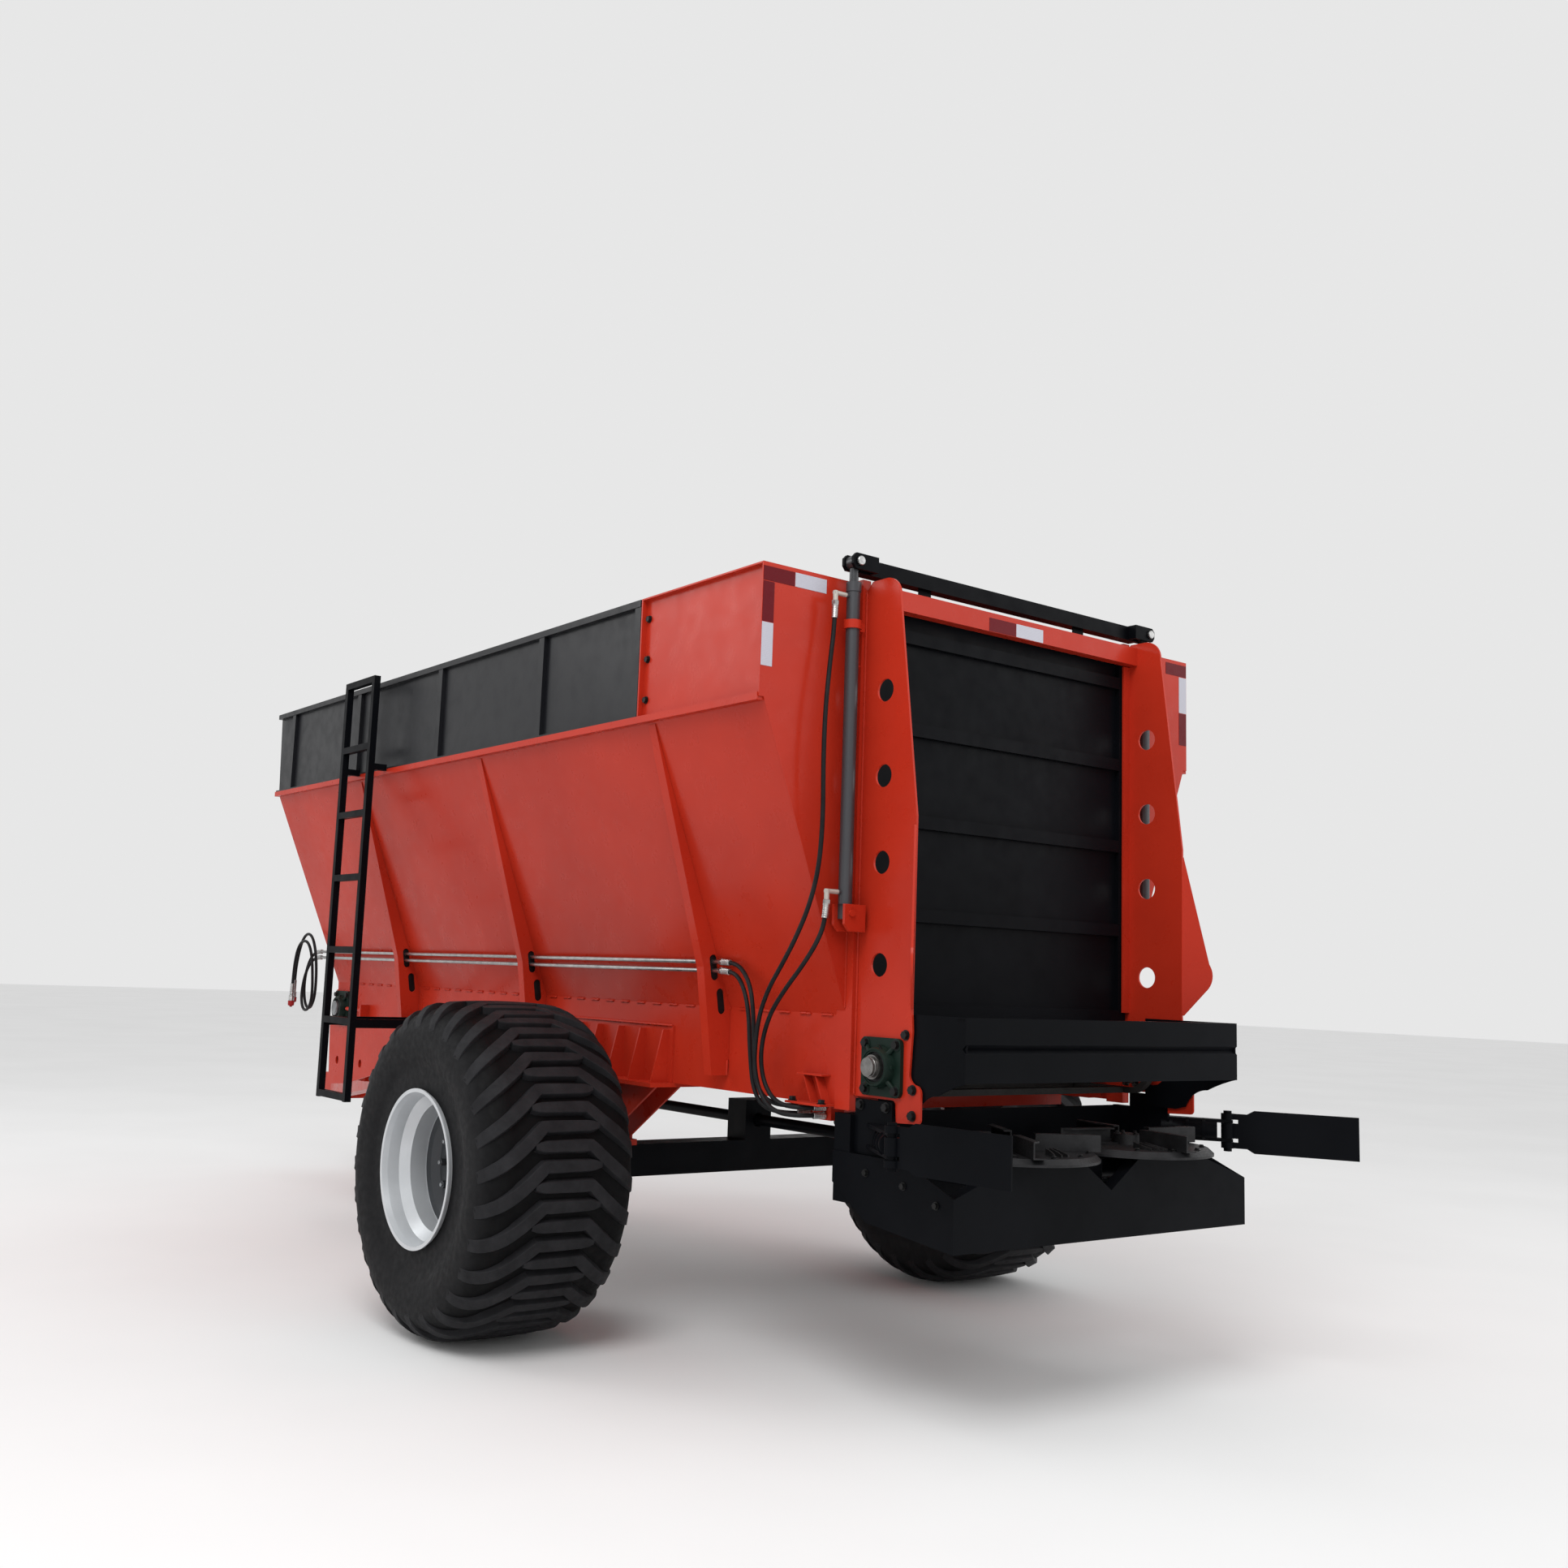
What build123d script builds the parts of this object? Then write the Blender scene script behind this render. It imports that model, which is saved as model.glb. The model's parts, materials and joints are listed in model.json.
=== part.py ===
from build123d import *
from math import atan2, cos, hypot, pi, radians, sin, tan
import os

# Trailed twin-disc spreader: a V-shaped hopper with a floor conveyor, a rear gate lifted by two cylinders, two
# spinning discs below it and wide flotation tyres. Millimetres, +Z up. The origin is on the ground, in the middle
# of the length and the width. +Y is forward, towards the hitch, and +X is to the right of someone who stands
# behind and looks forward. A station is a distance forward of the hopper's rear wall, and a height is measured
# from a level a little above the ground.

# ---- driving dimensions -------------------------------------------------------------------------------------
sheet = 5.0                     # hopper and board plate
plate = 8.0                     # cheeks, brackets and frame plates
fit_gap = 0.5                   # clearance between welded or bolted neighbours
running_gap = 0.05              # radial clearance of a shaft in its bearing

hopper_length = 4540.0          # station of the front wall at the rail
front_lean = 5.0                # degrees that the front wall leans forward
trough_x = 722.0                # outer face of the trough's side
trough_bottom = 960.0
slope_bottom = 1267.0           # where the slope meets the trough
rail_x, rail_height = 1125.0, 2318.0
top_x, top_height = 1146.0, 2784.0
joint_station = 753.0           # red rear sides end and black boards begin
board_ribs = (1490.0, 2445.0, 3392.0, 4317.0)

tyre_radius, tyre_width, tyre_x = 636.0, 646.0, 1283.0
bead_radius, rim_width = 285.75, 618.0      # 22.5 inch rim
axle_station, axle_height, axle_side = 1456.0, 616.0, 130.0
ground = axle_height - tyre_radius          # height of the ground, where the tyres stand

post_x, post_back, post_front, post_top = (690.0, 727.0), -41.0, 38.0, 2790.0
cheek_x = (699.0, 707.0)
drive_station, drive_height = -185.0, 1105.0
idler_station, idler_height = 4325.0, 1122.0
shaft_radius, sprocket_radius = 31.0, 80.0
bearing_size, bearing_bolts = 192.0, 150.0   # square flange and its hole spacing
bearing_foot, bearing_nose = 14.0, 20.0

gate_bottom, gate_top = 1225.0, 2690.0
lift_x, lift_station = 790.0, -63.0
beam_height = 2835.0
barrel_radius, barrel_wall, rod_radius = 24.0, 4.0, 16.0
barrel_low, barrel_high = 1640.0, 2762.0

disc_x, disc_station, disc_radius, disc_top = 303.0, -385.0, 290.0, 846.0
vane_height, vane_tip = 55.0, 300.0
wing_pin_x, wing_pin_station = 861.0, -400.0
wing_length, wing_low, wing_high, wing_splay, wing_toe_in = 462.0, 797.0, 955.0, 31.0, 6.0
wing_plate = 6.0

hitch_station, hitch_height, eye_radius, eye_ring = 6180.0, 560.0, 25.5, 62.0
jack_station, jack_x = 5150.0, 110.0
drive_line_height = 765.0
port_reach, low_port, high_port = 82.0, 1680.0, 2712.0     # elbows of the cylinders' hose ports

splay = radians(wing_splay)
tail_station = wing_pin_station - wing_length * cos(splay) - wing_plate / 2 * sin(splay)
nose_station = hitch_station + eye_ring
rear_wall = -(nose_station + tail_station) / 2      # Y of station 0, which centres the length on the origin

os.makedirs("parts", exist_ok=True)


# ---- planes and small builders ------------------------------------------------------------------------------
def side_plane(x):
    """Upright plane along the machine: local x is the station and local y the height. Its normal is +X."""
    return Plane(origin=spot(x, 0, 0), x_dir=(0, 1, 0), z_dir=(1, 0, 0))


def cross_plane(station):
    """Upright plane across the machine: local x is to the right and local y the height. Its normal is -Y."""
    return Plane(origin=spot(0, station, 0), x_dir=(1, 0, 0), z_dir=(0, -1, 0))


def level_plane(height):
    """Level plane: local x is to the right and local y the station. Its normal is +Z."""
    return Plane(origin=spot(0, 0, height), x_dir=(1, 0, 0), z_dir=(0, 0, 1))


def spot(x, station, height):
    """Point in the model's frame, whose origin is on the ground."""
    return (x, rear_wall + station, height - ground)


def outline(plane, *points):
    """Face on a plane with straight sides between the points."""
    with BuildSketch(plane) as face:
        with BuildLine():
            Polyline(*points, close=True)
        make_face()
    return face.sketch


def block(xs, stations, heights, mode=Mode.ADD):
    """Box between three pairs of limits."""
    (x0, x1), (y0, y1), (z0, z1) = xs, stations, heights
    with Locations(spot((x0 + x1) / 2, (y0 + y1) / 2, (z0 + z1) / 2)):
        Box(abs(x1 - x0), abs(y1 - y0), abs(z1 - z0), mode=mode)


def sided(side, near, far):
    """Pair of x limits, mirrored to the left where side is -1."""
    return sorted((side * near, side * far))


def rod(start, end, radius, mode=Mode.ADD):
    """Round bar from one point to another."""
    run = Vector(*end) - Vector(*start)
    with BuildSketch(Plane(origin=start, z_dir=run)) as ring:
        Circle(radius)
    extrude(ring.sketch, amount=run.length, mode=mode)


def bar_along_x(x0, x1, station, height, radius, mode=Mode.ADD):
    rod(spot(x0, station, height), spot(x1, station, height), radius, mode)


def bar_along_y(station0, station1, x, height, radius, mode=Mode.ADD):
    rod(spot(x, station0, height), spot(x, station1, height), radius, mode)


def bar_along_z(height0, height1, x, station, radius, mode=Mode.ADD):
    rod(spot(x, station, height0), spot(x, station, height1), radius, mode)


def save(piece, label):
    piece.part.label = label
    export_step(piece.part, f"parts/{label}.step")


SIDES = ((-1, "left"), (1, "right"))
front_plane = Plane(
    origin=spot(0, hopper_length, rail_height),
    x_dir=(1, 0, 0),
    z_dir=(0, -cos(radians(front_lean)), sin(radians(front_lean))),
)


# ---- hopper -------------------------------------------------------------------------------------------------
def idler_slot(side, x):
    """Long hole that lets the idler shaft move along the trough's side when the chains are tightened."""
    with BuildSketch(side_plane(side * x)) as slot:
        with Locations((idler_station, idler_height)):
            SlotOverall(180, 84)
    extrude(slot.sketch, amount=12, both=True, mode=Mode.SUBTRACT)


def hopper_wall(side, name):
    """Folded side sheet from the trough up to the rail, with the red rear part of the upper side."""
    outer = [(trough_x, trough_bottom), (trough_x, slope_bottom), (rail_x, rail_height)]
    inner = [(x - sheet, z) for x, z in reversed(outer)]
    with BuildPart() as wall:
        skin = outline(cross_plane(0), *[(side * x, z) for x, z in outer + inner])
        extrude(skin, amount=-hopper_length - 100)
        block(sided(side, rail_x - sheet, top_x + 4), (0, hopper_length + 100), (rail_height - 12, rail_height + 14))
        split(bisect_by=front_plane, keep=Keep.TOP)
        block(sided(side, rail_x - sheet, rail_x), (0, joint_station - 8), (rail_height + 10, top_height))
        block(sided(side, rail_x - sheet, top_x), (0, joint_station - 8), (top_height - 6, top_height))
        block(sided(side, rail_x - sheet, top_x), (joint_station - 16, joint_station - 8), (rail_height, top_height))
        block(sided(side, post_x[0] - 1, post_x[1] + fit_gap), (post_back, post_front + fit_gap),
              (900, top_height), mode=Mode.SUBTRACT)
        idler_slot(side, trough_x + 1)
    save(wall, f"hopper_wall_{name}")


def cylinder_foot(side):
    """Two-eared foot bracket with its pin ends, and the steadying band of a lift cylinder, on the post's side."""
    wall = post_x[1] - 1
    for station in (lift_station - 34, lift_station + 22):
        ear = outline(cross_plane(station), *[(side * x, z) for x, z in (
            (wall, 1548), (lift_x + 6, 1548), (lift_x + 28, 1572), (lift_x + 28, 1640), (wall, 1640))])
        extrude(ear, amount=-12)
    block(sided(side, wall, wall + 9), (post_back - 56, post_back + 12), (1548, 1640))
    bar_along_y(lift_station - 42, lift_station - 20.5, side * lift_x, 1610, 12)
    bar_along_y(lift_station + 20.5, lift_station + 42, side * lift_x, 1610, 12)
    with BuildSketch(level_plane(2596)) as band:
        with Locations((side * lift_x, lift_station)):
            Circle(barrel_radius + 8)
            Circle(barrel_radius + 0.3, mode=Mode.SUBTRACT)
    extrude(band.sketch, amount=30)
    block(sided(side, wall, lift_x - barrel_radius - 4), (lift_station + 8, lift_station + 24), (2596, 2626))


def rear_panel(side, name):
    """Plate across the end of the hopper, from the slope's edge to the post, with the box post on its inner edge."""
    edge = post_x[1] - 2
    slope = (rail_x - trough_x) / (rail_height - slope_bottom)
    start = slope_bottom + (edge - trough_x) / slope
    corners = [(edge, start), (rail_x, rail_height), (top_x, rail_height), (top_x, top_height), (edge, top_height)]
    with BuildPart() as panel:
        extrude(outline(cross_plane(-fit_gap), *[(side * x, z) for x, z in corners]), amount=sheet)
        block(sided(side, *post_x), (post_back, post_front), (trough_bottom - 10, post_top))
        cylinder_foot(side)
    save(panel, f"rear_panel_{name}")


def cheek(side, name):
    """Perforated upright plate behind the post, with a triangular wing folded outward at the back edge."""
    back, fold_station = -318.0, -314.0
    with BuildPart() as side_cheek:
        with BuildSketch(side_plane(side * cheek_x[0])) as face:
            with BuildLine():
                Polyline((post_back - fit_gap, 1000), (post_back - fit_gap, 2750))
                Line((post_back - fit_gap, 2750), (-70, 2780))
                Line((-70, 2780), (-140, 2780))
                ThreePointArc((-140, 2780), (-196, 2757), (-216, 2700))
                Polyline((-216, 2700), (back, 1935), (fold_station, 1300))
                Polyline((fold_station, 1300), (-319, 1225), (-309, 1094))
                ThreePointArc((-309, 1094), (-318, 1067), (-340, 1056))
                ThreePointArc((-340, 1056), (-357, 1047), (-364, 1026))
                Line((-364, 1026), (-364, 950))
                ThreePointArc((-364, 950), (-359, 938), (-347, 934))
                Polyline((-347, 934), (-250, 929), (-246, 984))
                ThreePointArc((-246, 984), (-241, 996), (-230, 1000))
                Line((-230, 1000), (post_back - fit_gap, 1000))
            make_face()
            with Locations(*[(-150, z) for z in (2381, 2083, 1786, 1440)]):
                Circle(40, mode=Mode.SUBTRACT)
            with Locations((drive_station, drive_height)):
                Circle(46, mode=Mode.SUBTRACT)
        extrude(face.sketch, amount=side * plate)
        fold = Plane(origin=spot(side * cheek_x[1], fold_station, 0), x_dir=(side, -1, 0), z_dir=(-1, -side, 0))
        with BuildSketch(fold) as flange:
            with BuildLine():
                Polyline((-3, 1300), (-3, 1905), (4, 1905), (98, 1497))
                ThreePointArc((98, 1497), (110, 1448), (94, 1404))
                Polyline((94, 1404), (4, 1300), (-3, 1300))
            make_face()
        extrude(flange.sketch, amount=plate / 2, both=True)
        block(sided(side, 660, cheek_x[0] + 1), (-67, -59), (1300, 2686))
    save(side_cheek, f"cheek_{name}")


def side_ribs(side, name):
    """Three tapered folded ribs under the slope, each a web across the machine with an outer cap."""
    foot = [(trough_x + 1, 1070), (trough_x + plate + 1.5, 1070), (trough_x + plate + 1.5, 1016)]
    edge = [(800, 1016), (855, 1414), (1122, 2298)]
    wall = [(1118.5, 2298), (trough_x + 1, slope_bottom + 1)]
    with BuildPart() as ribs:
        for station in (655, 2045, 3365):
            web = outline(cross_plane(station), *[(side * x, z) for x, z in foot + edge + wall])
            extrude(web, amount=-6)
            cap = edge + [(1118.5, 2298), (847, 1414), (792, 1016)]
            extrude(outline(cross_plane(station), *[(side * x, z) for x, z in cap]), amount=-46)
            for x, z in ((807, 1414), (769, 1289)):
                with BuildSketch(cross_plane(station - 1)) as slots:
                    with Locations((side * x, z)):
                        SlotOverall(96, 34, rotation=90 - side * 9)
                extrude(slots.sketch, amount=-8, mode=Mode.SUBTRACT)
    save(ribs, f"side_ribs_{name}")


def extension_board(side, name):
    """Bolted board that raises the hopper's side, with a cap, a foot flange and upright ribs."""
    heights = (rail_height + 14 + fit_gap, top_height)
    span = (joint_station, hopper_length + 100)
    with BuildPart() as board:
        block(sided(side, rail_x - sheet, rail_x), span, heights)
        block(sided(side, rail_x - sheet, top_x), span, (top_height - 26, top_height))
        block(sided(side, rail_x - sheet, top_x - 2), span, (heights[0], heights[0] + 8))
        for station in (joint_station, *board_ribs):
            block(sided(side, rail_x - sheet, top_x - 3), (station, station + 42), heights)
        split(bisect_by=front_plane, keep=Keep.TOP)
    save(board, f"extension_{name}")


def hopper_ends():
    """Sloped front wall, the board above it and the crossbar over the gate."""
    half_low = trough_x - sheet - fit_gap
    half_high = rail_x - sheet - fit_gap
    low = (1190 - rail_height) / cos(radians(front_lean))
    fold = (slope_bottom - rail_height) / cos(radians(front_lean))
    high = (top_height - rail_height) / cos(radians(front_lean)) - 3
    with BuildPart() as front:
        points = [(-half_low, low), (half_low, low), (half_low, fold), (half_high, 0), (half_high, 12),
                  (-half_high, 12), (-half_high, 0), (-half_low, fold)]
        extrude(outline(front_plane, *points), amount=sheet)
    save(front, "hopper_front_wall")
    with BuildPart() as board:
        face = outline(front_plane, (-half_high, 12.5), (half_high, 12.5), (half_high, high), (-half_high, high))
        extrude(face, amount=sheet)
        for x in (-560, 0, 560):
            stay = outline(front_plane, (x - 21, 12.5), (x + 21, 12.5), (x + 21, high), (x - 21, high))
            extrude(stay, amount=26)
    save(board, "extension_front")
    with BuildPart() as crossbar:
        edge = cheek_x[0] - fit_gap
        block((-edge, edge), (-103, -58), (2690, 2762))
    save(crossbar, "rear_crossbar")


# ---- conveyor -----------------------------------------------------------------------------------------------
belt_run = hypot(idler_station - drive_station, idler_height - drive_height)
belt_rise = atan2(idler_height - drive_height, idler_station - drive_station)
chain_inner, chain_outer = sprocket_radius + 1.0, sprocket_radius + 23.0
chain_x = (545.0, 575.0)


def belt_plane(x):
    """Plane along the conveyor: local x runs from the drive shaft to the idler, and local y is square to it."""
    return Plane(origin=spot(x, drive_station, drive_height), x_dir=(0, cos(belt_rise), sin(belt_rise)),
                 z_dir=(1, 0, 0))


def conveyor():
    """Floor plate, the two chains as plain loops and the slats between them."""
    half, throat = trough_x - sheet - fit_gap, post_x[0] - fit_gap
    inside, outside = chain_x[0] - 10, chain_x[1] + 10
    with BuildPart() as floor:
        for x0, x1, start, end in (
            (-throat, throat, 110, 226),
            (-half, half, 225, belt_run - 92),
            (-inside, inside, belt_run - 93, belt_run + 30),
            (-half, -outside, belt_run - 93, belt_run + 30),
            (outside, half, belt_run - 93, belt_run + 30),
        ):
            strip = outline(belt_plane(x0), (start, 67), (end, 67), (end, 73), (start, 73))
            extrude(strip, amount=x1 - x0)
    save(floor, "floor_plate")
    with BuildPart() as chains:
        for x in (-chain_x[1], chain_x[0]):
            with BuildSketch(belt_plane(x)) as loop:
                with Locations((belt_run / 2, 0)):
                    SlotCenterToCenter(belt_run, 2 * chain_outer)
                    SlotCenterToCenter(belt_run, 2 * chain_inner, mode=Mode.SUBTRACT)
            extrude(loop.sketch, amount=chain_x[1] - chain_x[0])
    save(chains, "conveyor_chains")
    with BuildPart() as slats:
        reach = chain_x[0] - fit_gap
        for i in range(19):
            at = 40 + i * (belt_run - 80) / 18
            for low in (chain_inner, -chain_outer):
                bar = (at - 20, low), (at + 20, low), (at + 20, low + 22), (at - 20, low + 22)
                extrude(outline(belt_plane(-reach), *bar), amount=2 * reach)
    save(slats, "conveyor_slats")


def conveyor_shaft(label, station, height, reach, collar):
    """Through shaft with two toothed sprockets and a locking collar outside each bearing."""
    teeth = 10
    with BuildPart() as shaft:
        bar_along_x(-reach, reach, station, height, shaft_radius)
        for x in (-chain_x[1] + 4, chain_x[0] + 4):
            with BuildSketch(side_plane(x)) as wheel:
                with Locations((station, height)):
                    Circle(sprocket_radius - 14)
                    with PolarLocations(sprocket_radius - 20, teeth):
                        RectangleRounded(38, 16, 4)
            extrude(wheel.sketch, amount=22)
        for side, _ in SIDES:
            collar_x = sided(side, collar, collar + 20)
            bar_along_x(*collar_x, station, height, shaft_radius + 9)
    save(shaft, label)


def shaft_bearings():
    """Cast square flange bearings of both conveyor shafts, one solid each."""
    seats = [(drive_station, drive_height, cheek_x[1] + fit_gap), (idler_station, idler_height, trough_x + 9)]
    with BuildPart() as bearings:
        for station, height, face in seats:
            for side, _ in SIDES:
                with BuildSketch(side_plane(side * face)) as flange:
                    with Locations((station, height)):
                        RectangleRounded(bearing_size, bearing_size, 22)
                        Circle(shaft_radius + running_gap, mode=Mode.SUBTRACT)
                extrude(flange.sketch, amount=side * bearing_foot)
                with BuildSketch(side_plane(side * (face + bearing_foot))) as housing:
                    with Locations((station, height)):
                        Circle(62)
                        Circle(shaft_radius + running_gap, mode=Mode.SUBTRACT)
                extrude(housing.sketch, amount=side * bearing_nose, taper=14)
    save(bearings, "shaft_bearings")


# ---- frame, axle and drawbar --------------------------------------------------------------------------------
def frame_plate(side, name):
    """Long side plate outside the trough, deep at the front where the drawbar is bolted on."""
    with BuildPart() as long_plate:
        with BuildSketch(side_plane(side * (trough_x + fit_gap))) as face:
            with BuildLine():
                Polyline((2080, 965), (3000, 965), (4200, 712), (4470, 690), (4515, 1066), (2080, 1066), close=True)
            make_face()
            with Locations((4046, 830), (4204, 830), (4368, 830)):
                Circle(22.5, mode=Mode.SUBTRACT)
        extrude(face.sketch, amount=side * plate)
        block(sided(side, trough_x + fit_gap, trough_x + fit_gap + plate), (4180, 4440), (1060, 1224))
        idler_slot(side, trough_x + 4)
        bar_along_y(3992, 4226, side * 752, idler_height, 10)
        block(sided(side, trough_x + fit_gap, 772), (3990, 4004), (1060, 1152))
    save(long_plate, f"frame_plate_{name}")


def frame_members():
    """Longitudinal box rails under the trough's edges and the crossmembers between them."""
    with BuildPart() as members:
        for side, _ in SIDES:
            block(sided(side, 620, 700), (post_front + 30, 4380), (trough_bottom + 2, 992))
        for station in (250, 850, 1456, 2300, 3150, 4000, 4340):
            block((-621, 621), (station - 40, station + 40), (trough_bottom + 2, 990))
        block((-621, 621), (210, 290), (925, trough_bottom + 3))
        block((-690, -630), (95, 245), (902, trough_bottom + 3))
    save(members, "frame_members")


def axle():
    """Square axle beam with a round spindle at each end."""
    half = 1050.0
    with BuildPart() as beam:
        block((-half, half), (axle_station - axle_side / 2, axle_station + axle_side / 2),
              (axle_height - axle_side / 2, axle_height + axle_side / 2))
        bar_along_x(-half - 348, half + 348, axle_station, axle_height, 40)
        block((-70, 70), (axle_station - 65, axle_station + 65), (axle_height + axle_side / 2 - 1, 850))
        bar_along_y(axle_station - 66, axle_station + 66, 0, drive_line_height, 30, Mode.SUBTRACT)
    save(beam, "axle_beam")


def axle_bracket(side, name):
    """Fabricated bracket: finned plate on the trough's side, base plate, and a tapered box leg down to the axle."""
    top = axle_height + axle_side / 2 + fit_gap
    x0 = trough_x + fit_gap
    with BuildPart() as bracket:
        block(sided(side, x0, x0 + 8), (1020, 1892), (948, 1180))
        block(sided(side, x0 - 130, x0 + 110), (1010, 1902), (944, trough_bottom - fit_gap))
        for i in range(6):
            at = 1045 + i * 164
            fin = outline(cross_plane(at), *[(side * x, z) for x, z in
                                            ((x0 + 4, 955), (x0 + 88, 955), (x0 + 36, 1165), (x0 + 4, 1165))])
            extrude(fin, amount=-8)
        for x in (x0 - 60, x0 + 52):
            leg = outline(side_plane(side * x), (1040, 946), (1380, top + 40), (1380, top), (1532, top),
                          (1532, top + 40), (1872, 946))
            extrude(leg, amount=side * 10)
        block(sided(side, x0 - 70, x0 + 72), (1360, 1552), (top, top + 24))
    save(bracket, f"axle_bracket_{name}")


def drawbar():
    """Twin converging rails from the frame plates to a nose tube, a crossmember and the pierced hitch eye."""
    with BuildPart() as bar:
        for side, _ in SIDES:
            start, end = Vector(side * 600, 3900, 800), Vector(side * 70, 5920, hitch_height)
            heading = Vector(end.X - start.X, end.Y - start.Y, end.Z - start.Z)
            square = Plane(origin=spot(*start), z_dir=heading, x_dir=Vector(0, 0, 1).cross(heading))
            with BuildSketch(square) as section:
                Rectangle(100, 160)
            extrude(section.sketch, amount=heading.length)
        block((-670, 670), (4100, 4260), (728, 886))
        bar_along_y(4090, 4270, 0, drive_line_height, 32, Mode.SUBTRACT)
        block((-120, 120), (5820, 6060), (hitch_height - 80, hitch_height + 80))
        for side, _ in SIDES:
            block(sided(side, 640, 718), (3960, 4420), (760, 900))
    save(bar, "drawbar")
    with BuildPart() as eye:
        with BuildSketch(level_plane(hitch_height - 22)) as ring:
            with Locations((0, hitch_station)):
                Circle(eye_ring)
            with BuildLine():
                Polyline((-42, hitch_station), (-42, 6062), (42, 6062), (42, hitch_station), close=True)
            make_face()
            with Locations((0, hitch_station)):
                Circle(eye_radius, mode=Mode.SUBTRACT)
        extrude(ring.sketch, amount=44)
        block((-90, 90), (6060.5, 6078), (hitch_height - 70, hitch_height + 70))
    save(eye, "hitch_eye")


def jack():
    """Parking jack: a fixed square sleeve clamped to the drawbar and the leg that slides in it."""
    with BuildPart() as sleeve:
        block((jack_x, jack_x + 90), (jack_station - 45, jack_station + 45), (330, 1010))
        block((jack_x + 6, jack_x + 84), (jack_station - 39, jack_station + 39), (330, 1004), mode=Mode.SUBTRACT)
        block((jack_x + 90, 207), (jack_station - 45, jack_station + 45), (600, 700))
        bar_along_z(1010, 1050, jack_x + 45, jack_station, 26)
        bar_along_x(jack_x + 45, jack_x + 170, jack_station, 1040, 8)
        bar_along_z(1040, 1130, jack_x + 165, jack_station, 12)
    save(sleeve, "jack_sleeve")
    with BuildPart() as leg:
        block((jack_x + 6.5, jack_x + 83.5), (jack_station - 38.5, jack_station + 38.5), (ground + 12, 620))
        block((jack_x - 55, jack_x + 145), (jack_station - 100, jack_station + 100), (ground, ground + 14))
    save(leg, "jack_leg")


# ---- wheels -------------------------------------------------------------------------------------------------
def wheel(side, name):
    """Hollow low-pressure tyre on a wide deep-dish rim. Both turn on the axle's spindle."""
    hub = Plane(origin=spot(side * tyre_x, axle_station, axle_height), x_dir=(side, 0, 0), z_dir=(0, -side, 0))
    half, seat, crown = tyre_width / 2, bead_radius + 2.5, tyre_radius - 6
    edge = rim_width / 2
    with BuildPart() as tyre:
        with BuildSketch(hub) as section:
            with BuildLine():
                Line((-edge + 14, seat), (-half + 24, 382))
                ThreePointArc((-half + 24, 382), (-half, 470), (-half + 12, 563))
                ThreePointArc((-half + 12, 563), (-half + 50, 604), (-half + 130, crown))
                ThreePointArc((-half + 130, crown), (0, tyre_radius), (half - 130, crown))
                ThreePointArc((half - 130, crown), (half - 50, 604), (half - 12, 563))
                ThreePointArc((half - 12, 563), (half, 470), (half - 24, 382))
                Polyline((half - 24, 382), (edge - 14, seat), (edge - 46, seat))
                ThreePointArc((edge - 46, seat), (half - 38, 450), (half - 100, 578))
                ThreePointArc((half - 100, 578), (0, 602), (-half + 100, 578))
                ThreePointArc((-half + 100, 578), (-half + 38, 450), (-edge + 46, seat))
                Line((-edge + 46, seat), (-edge + 14, seat))
            make_face()
        revolve(section.sketch, axis=Axis(hub.origin, (1, 0, 0)))
    save(tyre, f"tyre_{name}")
    outer = [(edge, 298), (edge, 288), (edge - 44, bead_radius), (edge - 70, 281), (edge - 98, 248)]
    inner = [(edge + 6, 298), (edge + 5, 284), (edge - 18, 279), (edge - 62, 273), (edge - 95, 240)]
    outside = outer + [(-s, r) for s, r in reversed(outer)]
    inside = inner + [(-s, r) for s, r in reversed(inner)]
    with BuildPart() as rim:
        with BuildSketch(hub) as section:
            with BuildLine():
                Polyline(*outside, *reversed(inside), close=True)
            make_face()
        revolve(section.sketch, axis=Axis(hub.origin, (1, 0, 0)))
        with BuildSketch(hub) as section:
            with BuildLine():
                Polyline((20, 40 + running_gap), (20, 96), (98, 96), (98, 190), (126, 220), (134, 241), (146, 241),
                         (138, 214), (112, 184), (112, 88), (116, 70), (116, 40 + running_gap), close=True)
            make_face()
        revolve(section.sketch, axis=Axis(hub.origin, (1, 0, 0)))
        with BuildSketch(Plane(origin=hub.origin, x_dir=(0, 1, 0), z_dir=(side, 0, 0)).offset(111)) as nuts:
            with PolarLocations(140, 10):
                RegularPolygon(15, 6)
        extrude(nuts.sketch, amount=22)
    save(rim, f"wheel_rim_{name}")


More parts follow.
